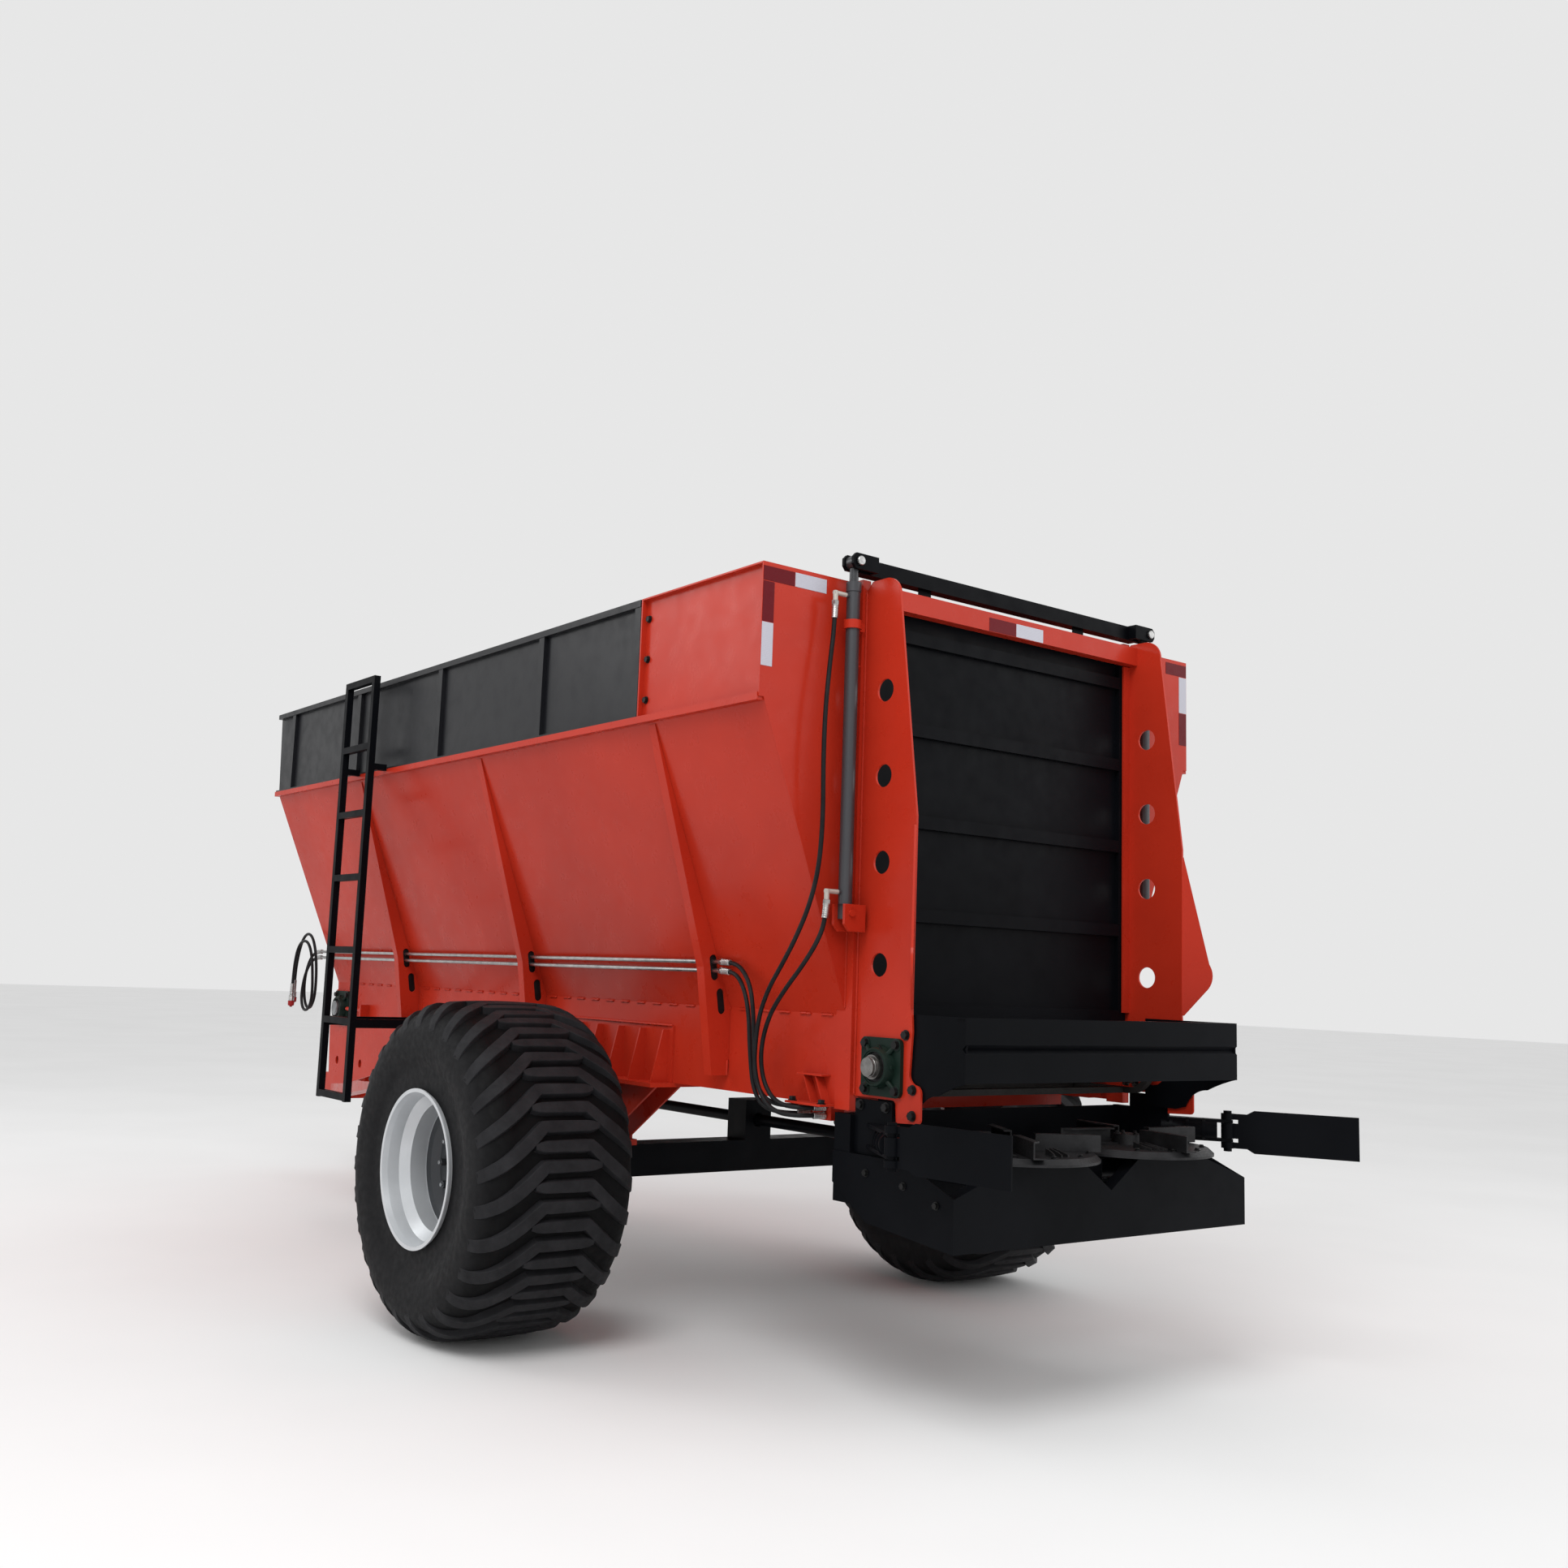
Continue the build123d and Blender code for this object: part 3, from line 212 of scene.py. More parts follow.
def reflective(name, base, cell):
    """Prismatic reflective tape: small cells under a clear face."""
    s = Shader(name)
    s.set(Specular_IOR_Level=0.1, Coat_Weight=0.04, Coat_Roughness=0.1)
    cells = s.nodes.new("ShaderNodeTexVoronoi")
    cells.inputs["Scale"].default_value = 230.0
    cells.inputs["Randomness"].default_value = 0.12
    s.link(s.coords, cells.inputs["Vector"])
    s.colour(s.mix(s.spread(cells.outputs["Distance"], 0.1, 0.6), base, cell))
    s.rough(60.0, 3.0, 0.25, 0.4)
    s.bump(cells.outputs["Distance"], 0.15, 0.0004)
    return s.material


def carcass_rubber_groove_shade(name, centre):
    """Tyre body: painted shade, near black, in the grooves, and a smooth grey-black sidewall inside them."""
    s = Shader(name)
    s.set(Specular_IOR_Level=0.12)
    wall_end, groove_shade_start = 0.545, 0.585
    reach = s.spread(s.axis_distance(centre, (0, 1, 1)), wall_end, groove_shade_start)
    wall = s.mix(s.bloom(), (0.0075, 0.0075, 0.0085), (0.0125, 0.0125, 0.0135))
    # painted shade: past the sidewall the groove floors are coloured near black, darker than the same rubber on the
    # lugs and sidewall
    s.colour(s.mix(reach, wall, (0.0028, 0.0028, 0.0032)))
    s.rough(40.0, 4.0, 0.56, 0.76)
    s.bump(s.noise(900.0, 4.0), 0.3, 0.0005)
    return s.material


def two_tone(name, near, far, point, keep, edge, metallic, roughness):
    """Metal or paint that changes at a distance from a point or an axis, such as a disc inside its rim."""
    blur = 0.001
    s = Shader(name)
    mask = s.spread(s.axis_distance(point, keep), edge - blur, edge + blur)
    cloud = s.spread(s.noise(9.0, 3.0), 0.35, 0.8, 0.0, 0.08)
    tone = s.mix(mask, near, far)
    s.set(Metallic=metallic)
    s.colour(s.mix(cloud, tone, tuple(0.7 * c for c in near)))
    s.rough(METAL_GRAIN, 4.0, roughness - 0.08, roughness + 0.12)
    s.bump(s.noise(METAL_GRAIN * 2, 3.0), 0.18, 0.0005)
    return s.material


RED = paint("red_gloss_paint", (0.48, 0.029, 0.012), (0.42, 0.024, 0.010), 0.30, 0.14, coat=0.07)
BLACK = paint("black_satin_paint", (0.0022, 0.0026, 0.0036), (0.004, 0.0045, 0.006), 0.40, 0.05, dust=0.015)
BOARD_BLACK = paint("black_board_paint", (0.008, 0.0085, 0.0105), (0.013, 0.0135, 0.0155), 0.34, 0.2, dust=0.04)
GREY = paint("dark_grey_paint", (0.06, 0.062, 0.068), (0.045, 0.047, 0.052), 0.42, 0.35)
GREEN = paint("green_casting_paint", (0.006, 0.019, 0.013), (0.005, 0.012, 0.009), 0.40, 0.16)
STEEL = metal("bright_steel", (0.5, 0.5, 0.49), (0.34, 0.34, 0.34), 0.32)
SHAFT = metal("dark_shaft_steel", (0.30, 0.29, 0.28), (0.15, 0.145, 0.14), 0.34)
ZINC = metal("galvanised_steel", (0.42, 0.43, 0.44), (0.3, 0.31, 0.32), 0.4)
# dark worn steel, darkened further as painted shade so the conveyor under the hood reads dark
WORN_AND_SHADED = metal("worn_conveyor_steel_and_painted_shade", (0.022, 0.020, 0.019), (0.011, 0.010, 0.009), 0.55, metallic=0.5)
DISC = metal("dark_cast_disc", (0.022, 0.022, 0.024), (0.010, 0.010, 0.011), 0.42, metallic=0.5)
WORN_FLAT = metal("worn_vane_steel", (0.05, 0.05, 0.052), (0.02, 0.02, 0.021), 0.42, metallic=0.6)
DARK_BOLT = metal("blackened_bolt", (0.016, 0.016, 0.017), (0.008, 0.008, 0.008), 0.42, metallic=0.6)
TREAD = rubber("tread_rubber", (0.0115, 0.0115, 0.0130), (0.024, 0.024, 0.0265), 0.66, 700.0)
HOSE = rubber("hose_rubber", (0.007, 0.007, 0.008), (0.016, 0.016, 0.017), 0.45, 1500.0)
CAP_RED = rubber("red_plastic_cap", (0.36, 0.02, 0.02), (0.25, 0.015, 0.015), 0.4, 500.0)
TAPE_RED = reflective("red_reflective_tape", (0.150, 0.002, 0.008), (0.105, 0.001, 0.005))
TAPE_WHITE = reflective("white_reflective_tape", (0.58, 0.58, 0.64), (0.46, 0.46, 0.52))
CARCASS = carcass_rubber_groove_shade("carcass_rubber_groove_shade", at(0, AXLE_STATION, AXLE_HEIGHT))
# silver outside 238.5 mm from the axle, darker inside it
RIM = two_tone("silver_rim_darker_inside_radius", (0.045, 0.048, 0.053), (0.60, 0.62, 0.64),
               at(0, AXLE_STATION, AXLE_HEIGHT), (0, 1, 1), 0.2385, 0.45, 0.36)
BARREL = two_tone("grey_barrel_plated_ports", (0.055, 0.056, 0.062), (0.5, 0.47, 0.42),
                  (0, 0, 0), (1, 0, 0), 0.824, 0.35, 0.36)
ROD = two_tone("plated_rod_dark_eye", (0.060, 0.062, 0.066), (0.62, 0.62, 0.62),
               at(0, 0, LIFT_PIN_HEIGHT), (0, 0, 1), 0.072, 0.6, 0.3)

SLOT_MATERIALS = {
    "red_paint": RED, "black_paint": BLACK, "steel": ZINC, "worn_steel": WORN_AND_SHADED, "grey_paint": GREY,
    "bearing_green": GREEN, "rim_silver": RIM, "tyre_rubber": CARCASS, "hose_rubber": HOSE, "disc_black": DISC,
}
NODE_MATERIALS = {
    "cylinder_rod_left": ROD, "cylinder_rod_right": ROD, "fasteners": DARK_BOLT, "drive_shaft": SHAFT,
    "extension_left": BOARD_BLACK, "extension_right": BOARD_BLACK,
    "side_pipes": STEEL, "cylinder_barrel_left": BARREL, "cylinder_barrel_right": BARREL,
}


def dress_cad_nodes():
    """Give every CAD node its finish."""
    slots = {row["node"]: row["material_slot"] for row in frame["record"]["subparts"]}
    for name, node in frame["nodes"].items():
        node.data.materials.clear()
        node.data.materials.append(NODE_MATERIALS.get(name, SLOT_MATERIALS[slots[name]]))


# ---- mesh helpers -------------------------------------------------------------------------------------------
def add_mesh(name, points, faces, material, body, sharp=40):
    """Piece of visible mesh on a body, smooth but for edges over sharp degrees."""
    data = bpy.data.meshes.new(name)
    data.from_pydata([tuple(p) for p in points], [], faces)
    data.validate()
    data.materials.append(material)
    piece = bpy.data.objects.new(name, data)
    bpy.context.scene.collection.objects.link(piece)
    data.shade_smooth()
    data.set_sharp_from_angle(angle=math.radians(sharp))
    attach(piece, body)
    return piece


def ring_faces(rings, around, closed_rings=False):
    """Quads between rows of points: rings rows of around points each."""
    faces = []
    for i in range(rings if closed_rings else rings - 1):
        j = (i + 1) % rings
        for k in range(around):
            m = (k + 1) % around
            faces.append((i * around + k, i * around + m, j * around + m, j * around + k))
    return faces


def revolve(profile, centre, axis, steps):
    """Closed profile of (along, radius) pairs turned about an axis through centre. Returns points and faces."""
    axis = Vector(axis).normalized()
    side = axis.orthogonal().normalized()
    up = axis.cross(side)
    points = []
    for i in range(steps):
        turn = 2 * math.pi * i / steps
        out = side * math.cos(turn) + up * math.sin(turn)
        points += [centre + axis * a + out * r for a, r in profile]
    return points, ring_faces(steps, len(profile), closed_rings=True)


def frames_along(path):
    """A pair of side vectors at each point of a path, turned as little as possible from one to the next."""
    ahead = [(b - a).normalized() for a, b in zip(path, path[1:])]
    ahead = [ahead[0]] + [(a + b).normalized() for a, b in zip(ahead, ahead[1:])] + [ahead[-1]]
    side = ahead[0].orthogonal().normalized()
    found = []
    for direction in ahead:
        side = (side - direction * side.dot(direction)).normalized()
        found.append((side, direction.cross(side)))
    return found


def tube(path, radii, around):
    """Round tube along a path, with its ends closed."""
    points = []
    for p, (side, up), r in zip(path, frames_along(path), radii):
        for k in range(around):
            turn = 2 * math.pi * k / around
            points.append(p + (side * math.cos(turn) + up * math.sin(turn)) * r)
    faces = ring_faces(len(path), around)
    faces.append(tuple(reversed(range(around))))
    faces.append(tuple(range((len(path) - 1) * around, len(path) * around)))
    return points, faces


def turned(start, axis, profile, around):
    """Solid turned part from (along, radius) pairs, along an axis from start."""
    return tube([start + axis * along for along, _ in profile], [radius for _, radius in profile], around)


def join(parts):
    """One list of points and faces from several."""
    points, faces = [], []
    for p, f in parts:
        faces += [tuple(i + len(points) for i in face) for face in f]
        points += p
    return points, faces


# ---- tyres --------------------------------------------------------------------------------------------------
TYRE_RADIUS, LUG_DEPTH, LUGS = 0.636, 0.027, 28      # lugs are counted on each side of the crown
HALF = 0.323                                         # half of the tyre's width
BEAD_RADIUS, BEAD_INSET = 0.2885, 0.060              # inner edge of the bead, and how far in the bead reaches
LUG_END = 0.372                                      # distance along the outline where the lugs die out
LUG_FADE = 0.20                                      # where they start to get lower
LUG_BAR, LUG_BEND = 0.136, 0.098                     # reach of the level bar past the middle, and the arm's bend
WALL_RINGS = ((0.415, 0.425), (0.455, 0.475), (0.520, 0.530))   # moulded rings, by distance along the outline
RING_HEIGHT = 0.0006                                 # how much the rings stand over the sidewall
TYRE_STEPS, TYRE_ROWS = 240, 74


def arc_through(a, b, c, count):
    """Points on the circle through three points, from a to c."""
    (ax, ay), (bx, by), (cx, cy) = a, b, c
    d = 2 * (ax * (by - cy) + bx * (cy - ay) + cx * (ay - by))
    ux = ((ax**2 + ay**2) * (by - cy) + (bx**2 + by**2) * (cy - ay) + (cx**2 + cy**2) * (ay - by)) / d
    uy = ((ax**2 + ay**2) * (cx - bx) + (bx**2 + by**2) * (ax - cx) + (cx**2 + cy**2) * (bx - ax)) / d
    r = math.hypot(ax - ux, ay - uy)
    start, middle, end = (math.atan2(y - uy, x - ux) for x, y in (a, b, c))
    turn = (end - start + math.pi) % (2 * math.pi) - math.pi
    if abs((middle - start + math.pi) % (2 * math.pi) - math.pi) > abs(turn):
        turn -= math.copysign(2 * math.pi, turn)
    return [(ux + r * math.cos(start + turn * i / count), uy + r * math.sin(start + turn * i / count))
            for i in range(count + 1)]


def tyre_outline():
    """Half of the tyre's outer outline from the crown's middle to the bead, as (across, radius) points."""
    crown_edge, shoulder_end = (HALF - 0.130, 0.630), (HALF - 0.012, 0.563)
    half_steps = 12
    crown = arc_through((-crown_edge[0], crown_edge[1]), (0, TYRE_RADIUS), crown_edge, 2 * half_steps)[half_steps:]
    shoulder = arc_through(crown_edge, (HALF - 0.050, 0.604), shoulder_end, 10)[1:]
    wall = arc_through(shoulder_end, (HALF, 0.470), (HALF - 0.024, 0.382), 14)[1:]
    bead = [(HALF - 0.026, 0.345), (HALF - 0.028, 0.310), (HALF - 0.028, BEAD_RADIUS)]
    return crown + shoulder + wall + bead


class Crown:
    """The outer outline by distance along it from the crown's middle, with its inward normal."""

    def __init__(self):
        self.points = [Vector(p) for p in tyre_outline()]
        self.reach = [0.0]
        for a, b in zip(self.points, self.points[1:]):
            self.reach.append(self.reach[-1] + (b - a).length)

    def place(self, distance):
        """Point of the outline and its inward normal, at a distance to either side of the middle."""
        side = -1 if distance < 0 else 1
        distance = min(abs(distance), self.reach[-1] - 1e-6)
        i = next(k for k, r in enumerate(self.reach) if r > distance) - 1
        t = (distance - self.reach[i]) / (self.reach[i + 1] - self.reach[i])
        p = self.points[i].lerp(self.points[i + 1], t)
        run = (self.points[i + 1] - self.points[i]).normalized()
        return Vector((p.x * side, p.y)), Vector((run.y * side, -run.x))


CROWN = Crown()


def lug_depth(distance):
    """Depth of the groove floor under the lugs' tops, along the outline."""
    distance = abs(distance)
    if distance < LUG_FADE:
        return LUG_DEPTH
    if distance < LUG_END:
        return LUG_DEPTH * (1 - (distance - LUG_FADE) / (LUG_END - LUG_FADE)) ** 0.9
    return 0.0


def lug_line():
    """Centre line of a lug as (across, along): a level bar over the crown, then a curved arm to the shoulder."""
    steps = 22
    points = []
    for i in range(steps + 1):
        u = LUG_BAR - (LUG_BAR + LUG_END) * i / steps
        arm = max(0.0, -u - LUG_BEND)
        points.append((u, -0.98 * arm + 0.9 * arm**2 / (2 * LUG_END)))
    return points


def wheel_centre(side):
    """Middle of a wheel on its axle."""
    return at(side * WHEEL_X, AXLE_STATION, AXLE_HEIGHT)


def build_carcass(side, name):
    """Grooved tyre body with moulded rings on its sidewalls."""
    outline = []
    total = CROWN.reach[-1]
    for i in range(TYRE_ROWS + 1):
        u = -total + 2 * total * i / TYRE_ROWS
        p, inward = CROWN.place(u)
        on_ring = any(low < abs(u) < high for low, high in WALL_RINGS)
        q = p + inward * (0.0 if on_ring else max(lug_depth(u), RING_HEIGHT))
        outline.append((q.x, q.y))
    profile = outline + [(HALF - BEAD_INSET, BEAD_RADIUS), (BEAD_INSET - HALF, BEAD_RADIUS)]
    points, faces = revolve(profile, wheel_centre(side), (1, 0, 0), TYRE_STEPS)
    carcass = add_mesh(f"tyre_carcass_{name}", points, faces, CARCASS, f"wheel_{name}")
    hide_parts(f"tyre_{name}")


def lug_section(i, count, deep):
    """Across-lug section at point i of the lug's line: (offset, distance under the outline) pairs."""
    half_width, foot, chamfer, top, rooted = 0.0195, 0.006, 0.002, 0.0008, 0.002
    taper = 1.0 if i > 1 else (0.45, 0.86)[i]
    grow = 1.0 + 0.35 * i / count
    w = half_width * taper * grow
    flare = foot * deep / LUG_DEPTH
    floor = deep + rooted
    section = ((-w - flare, floor), (-w, top + chamfer), (-w + chamfer, top),
               (w - chamfer, top), (w, top + chamfer), (w + flare, floor))
    return [(offset, min(sunk, floor)) for offset, sunk in section]


def lug_faces(rows, around, hand):
    """Top and sides of a lug with both ends closed. The foot is open, inside the carcass."""
    faces = []
    for i in range(rows - 1):
        for k in range(around - 1):
            a = i * around + k
            faces.append((a, a + 1, a + around + 1, a + around))
    last = (rows - 1) * around
    faces += [tuple(reversed(range(around))), tuple(range(last, last + around))]
    return faces if hand < 0 else [tuple(reversed(face)) for face in faces]


def build_lugs(side, name):
    """Two rows of interlocking chevron lugs."""
    centre = wheel_centre(side)

    def place(across, along, sunk):
        """Point on the tyre: distance across, arc along, and how far under the outline."""
        p, inward = CROWN.place(across)
        q = p + inward * sunk
        turn = along / TYRE_RADIUS
        return centre + Vector((q.x, -q.y * math.cos(turn), q.y * math.sin(turn)))

    parts = []
    for hand in (-1, 1):
        line = [Vector((hand * u, v)) for u, v in lug_line()]
        for n in range(LUGS):
            start = 2 * math.pi * TYRE_RADIUS * (n + (0.5 if hand > 0 else 0.0)) / LUGS
            points = []
            for i, p in enumerate(line):
                ahead = (line[min(i + 1, len(line) - 1)] - line[max(i - 1, 0)]).normalized()
                across = Vector((-ahead.y, ahead.x))
                section = lug_section(i, len(line), lug_depth(p.x))
                for offset, sunk in section:
                    q = p + across * offset
                    points.append(place(q.x, start + q.y, sunk))
            parts.append((points, lug_faces(len(line), len(section), hand)))
    points, faces = join(parts)
    add_mesh(f"tyre_lugs_{name}", points, faces, TREAD, f"wheel_{name}", sharp=30)


# ---- hoses --------------------------------------------------------------------------------------------------
# Control points (x, station, height) in millimetres, the routes of the CAD hoses.
HOSE_ROUTES = {
    "lift_hose_upper": [
        (-872, -63, 2672), (-874, -64, 2590), (-893, -68, 2455), (-912, -74, 2290), (-917, -78, 2110),
        (-909, -76, 1930), (-911, -66, 1760), (-928, -40, 1625), (-938, 20, 1510), (-920, 110, 1425),
        (-890, 215, 1345), (-858, 302, 1255), (-842, 340, 1160), (-840, 345, 1075), (-838, 322, 1000),
        (-837, 272, 945), (-831, 210, 922), (-808, 160, 918), (-764, 131, 918), (-690, 125, 918),
    ],
    "lift_hose_lower": [
        (-872, -63, 1640), (-874, -61, 1575), (-893, -40, 1500), (-905, 22, 1420), (-893, 120, 1345),
        (-862, 232, 1265), (-830, 310, 1185), (-817, 340, 1105), (-815, 325, 1030), (-814, 282, 975),
        (-812, 222, 949), (-794, 164, 944), (-752, 130, 944), (-690, 125, 944),
    ],
    "supply_hose_upper": [
        (-810, 600, 1435), (-811, 530, 1434), (-815, 465, 1410), (-823, 405, 1350), (-828, 378, 1265),
        (-826, 372, 1180), (-822, 368, 1095), (-821, 362, 1026), (-815, 326, 970), (-804, 268, 946),
        (-757, 215, 944), (-690, 205, 944),
    ],
    "supply_hose_lower": [
        (-810, 600, 1402), (-811, 545, 1401), (-813, 490, 1382), (-820, 438, 1325), (-825, 406, 1245),
        (-824, 399, 1160), (-820, 392, 1080), (-818, 378, 1002), (-812, 344, 945), (-801, 280, 921),
        (-760, 222, 918), (-690, 205, 918),
    ],
    "front_hose_upper": [
        (-810, 4520, 1435), (-812, 4588, 1434), (-820, 4650, 1398), (-828, 4685, 1322), (-832, 4690, 1235),
        (-834, 4668, 1163), (-838, 4614, 1112), (-842, 4540, 1112), (-847, 4482, 1166), (-852, 4460, 1245),
        (-856, 4460, 1340), (-860, 4480, 1438), (-864, 4525, 1513), (-867, 4590, 1540), (-869, 4655, 1514),
        (-870, 4700, 1450), (-871, 4728, 1370), (-871, 4740, 1290), (-871, 4741, 1215),
    ],
    "front_hose_lower": [
        (-810, 4520, 1402), (-815, 4580, 1401), (-828, 4635, 1366), (-842, 4664, 1298), (-852, 4667, 1218),
        (-857, 4652, 1150), (-863, 4600, 1102), (-867, 4530, 1098), (-871, 4468, 1140), (-876, 4446, 1215),
        (-880, 4450, 1300), (-883, 4464, 1385), (-887, 4496, 1457), (-890, 4550, 1494), (-893, 4618, 1490),
        (-895, 4668, 1448), (-896, 4694, 1378), (-896, 4706, 1290), (-896, 4707, 1195),
    ],
}
HOSE_RADIUS = 0.008
FERRULE_LENGTH, CRIMPS, CRIMP_PITCH = 0.052, 5, 0.007
HOSE_NUT_ACROSS = 0.027


def spline_points(line):
    """Points along a curve's own line, read from its mesh while it has no bevel."""
    bpy.context.view_layer.update()
    thin = line.evaluated_get(bpy.context.evaluated_depsgraph_get())
    mesh = bpy.data.meshes.new_from_object(thin)
    points = [v.co.copy() for v in mesh.vertices]
    bpy.data.meshes.remove(mesh)
    return points


def stretch_of(points, length):
    """The first part of a line, as long as asked."""
    found, gone = [points[0]], 0.0
    for a, b in zip(points, points[1:]):
        step = (b - a).length
        if gone + step >= length:
            found.append(a.lerp(b, (length - gone) / step))
            return found
        found.append(b)
        gone += step
    return found


def ferrule(points):
    """Crimped sleeve round the end of a hose: a plain shoulder, crimp flutes and a rolled lip."""
    line = stretch_of(points, FERRULE_LENGTH)
    run = [0.0]
    for a, b in zip(line, line[1:]):
        run.append(run[-1] + (b - a).length)

    def place(distance):
        i = next((k for k, r in enumerate(run) if r >= distance), len(run) - 1)
        i = max(i, 1)
        return line[i - 1].lerp(line[i], (distance - run[i - 1]) / (run[i] - run[i - 1]))

    outline = [(0.0, 0.0095), (0.002, 0.0125), (0.008, 0.0125), (0.010, 0.0112)]
    for k in range(CRIMPS):
        start = 0.012 + k * CRIMP_PITCH
        outline += [(start, 0.0118), (start + 0.004, 0.0118), (start + 0.005, 0.0110)]
    outline += [(0.0475, 0.0116), (0.050, 0.0122), (0.0515, 0.0100)]
    path = [place(d) for d, _ in outline]
    return tube(path, [r for _, r in outline], 20)


def hex_prism(centre, axis, length, across):
    """Chamfered hexagon nut on an axis, from centre onwards."""
    chamfer, chamfer_scale = 0.0018, 0.86
    axis = Vector(axis).normalized()
    side = axis.orthogonal().normalized()
    up = axis.cross(side)
    ends = []
    for along, scale in ((0.0, chamfer_scale), (chamfer, 1.0), (length - chamfer, 1.0), (length, chamfer_scale)):
        ends.append([centre + axis * along + (side * math.cos(k * math.pi / 3) + up * math.sin(k * math.pi / 3))
                     * across / 2 * scale for k in range(6)])
    points = [p for ring in ends for p in ring]
    faces = ring_faces(4, 6)
    faces += [tuple(reversed(range(6))), tuple(range(18, 24))]
    return points, faces


def hoses():
    """Every hydraulic hose on its smooth line, with crimped ferrules and nuts, and couplers on the front pair."""
    for name, route in HOSE_ROUTES.items():
        at_front = name.startswith("front")
        data = bpy.data.curves.new(f"{name}_line", "CURVE")
        data.dimensions = "3D"
        data.resolution_u = 10
        data.bevel_resolution = 5
        data.use_fill_caps = True
        spline = data.splines.new("NURBS")
        spline.points.add(len(route) - 1)
        for point, place in zip(spline.points, route):
            point.co = (*at(*place), 1.0)
        spline.order_u = 3
        spline.use_endpoint_u = True
        line = bpy.data.objects.new(f"{name}_line", data)
        bpy.context.scene.collection.objects.link(line)
        points = spline_points(line)
        data.bevel_depth = HOSE_RADIUS
        data.materials.append(HOSE)
        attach(line, "chassis")
        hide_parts(name)
        for end, run in (("start", points), ("end", points[::-1])):
            heading = (run[0] - run[1]).normalized()
            parts = [ferrule(run)]
            if end == "start":
                parts.append(hex_prism(run[0] - heading * 0.004, heading, 0.016, HOSE_NUT_ACROSS))
            elif at_front:
                parts.append(coupler(run[0] - heading * 0.002, heading))
            else:
                parts.append(hex_prism(run[0] - heading * 0.012, heading, 0.012, HOSE_NUT_ACROSS))
            p, f = join(parts)
            add_mesh(f"{name}_fitting_{end}", p, f, STEEL, "chassis", sharp=30)
        if at_front:
            p, f = dust_cap(points[-1], (points[-1] - points[-2]).normalized())
            add_mesh(f"{name}_dust_cap", p, f, CAP_RED, "chassis")
            if name == "front_hose_upper":
                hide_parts("hose_couplers")


def coupler(start, axis):
    """Push-pull coupling body: plain neck, grooved sleeve and nose."""
    body = [(0.0, 0.010), (0.004, 0.0120), (0.018, 0.0120), (0.020, 0.0150), (0.022, 0.0160)]
    for k in range(4):
        along = 0.024 + k * 0.006
        body += [(along, 0.0160), (along + 0.002, 0.0150), (along + 0.004, 0.0150)]
    body += [(0.050, 0.0160), (0.052, 0.0130), (0.058, 0.0120), (0.060, 0.0100)]
    return turned(start, axis, body, 24)


def dust_cap(start, axis):
    """Soft plastic cap with a rolled rim and a pull knob."""
    body = [(0.048, 0.0120), (0.049, 0.0185), (0.052, 0.0190), (0.055, 0.0178), (0.070, 0.0180), (0.076, 0.0160),
            (0.078, 0.0080), (0.081, 0.0070), (0.083, 0.0090), (0.084, 0.0050)]
    return turned(start, axis, body, 24)


# ---- welds, tapes, brackets and bolts -----------------------------------------------------------------------
def weld(start, end, radius=0.0042):
    """Rippled fillet bead along a straight joint."""
    ripple = 0.006
    count = max(4, int((end - start).length / ripple))
    path, radii = [], []
    for i in range(count + 1):
        wander = Vector((math.sin(i * 1.7), math.sin(i * 2.3 + 1), math.sin(i * 1.1 + 2))) * 0.0004
        path.append(start.lerp(end, i / count) + wander)
        radii.append(radius * (1.0 + 0.16 * (i % 2) + 0.08 * math.sin(i * 0.9)))
    radii[0] = radii[-1] = radius * 0.5
    return tube(path, radii, 8)


def plate_block(x, station, height, ease=0.0012):
    """Flat bar or plate between pairs of limits in millimetres, with eased edges."""
    low, high = at(x[0], station[0], height[0]), at(x[1], station[1], height[1])
    points = []
    for layer, z in enumerate((low.z, low.z + ease, high.z - ease, high.z)):
        inset = ease if layer in (0, 3) else 0.0
        x0, x1, y0, y1 = low.x + inset, high.x - inset, low.y + inset, high.y - inset
        points += [(x0, y0, z), (x1, y0, z), (x1, y1, z), (x0, y1, z)]
    faces = ring_faces(4, 4) + [(3, 2, 1, 0), (12, 13, 14, 15)]
    return [Vector(p) for p in points], faces


def sided(side, near, far):
    """Pair of x limits in order, for one side of the machine."""
    return sorted((side * near, side * far))


def sheared(part, shift, low, high):
    """Lean a part: its points move by shift (millimetres) between two heights."""
    points, faces = part
    z0, z1 = at(0, 0, low).z, at(0, 0, high).z
    return [p + Vector(shift) * MM * ((p.z - z0) / (z1 - z0)) for p in points], faces


def bolt(place, axis, across, high):
    """Washer and chamfered hexagon head standing on a face."""
    axis = Vector(axis).normalized()
    rim, corners = across * 0.72, across * 1.155
    washer = turned(place, axis, [(0.0, rim), (0.0025, rim), (0.003, across * 0.66)], 24)
    return join([washer, hex_prism(place + axis * 0.003, axis, high, corners)])


def tapes():
    """Plain reflective strips on the rear corners and the crossbar."""
    panel, bar, thickness, ease = -6.6, -104.0, 1.2, 0.0003     # stations of the faces, and the tape's own size
    strips = {
        "red": [((-1144, -1008), panel, (2719, 2769)), ((-1144, -1096), panel, (2576, 2716)),
                ((1008, 1144), panel, (2719, 2769)), ((1096, 1144), panel, (2424, 2560)),
                ((-155, -12), bar, (2692, 2742))],
        "white": [((-1006, -866), panel, (2719, 2769)), ((-1144, -1096), panel, (2424, 2574)),
                  ((1096, 1144), panel, (2562, 2716)), ((-10, 138), bar, (2692, 2742))],
    }
    for colour, material in (("red", TAPE_RED), ("white", TAPE_WHITE)):
        parts = []
        for x, station, height in strips[colour]:
            parts.append(plate_block(x, (station, station + thickness), height, ease))
        p, f = join(parts)
        add_mesh(f"tape_{colour}", p, f, material, "chassis")


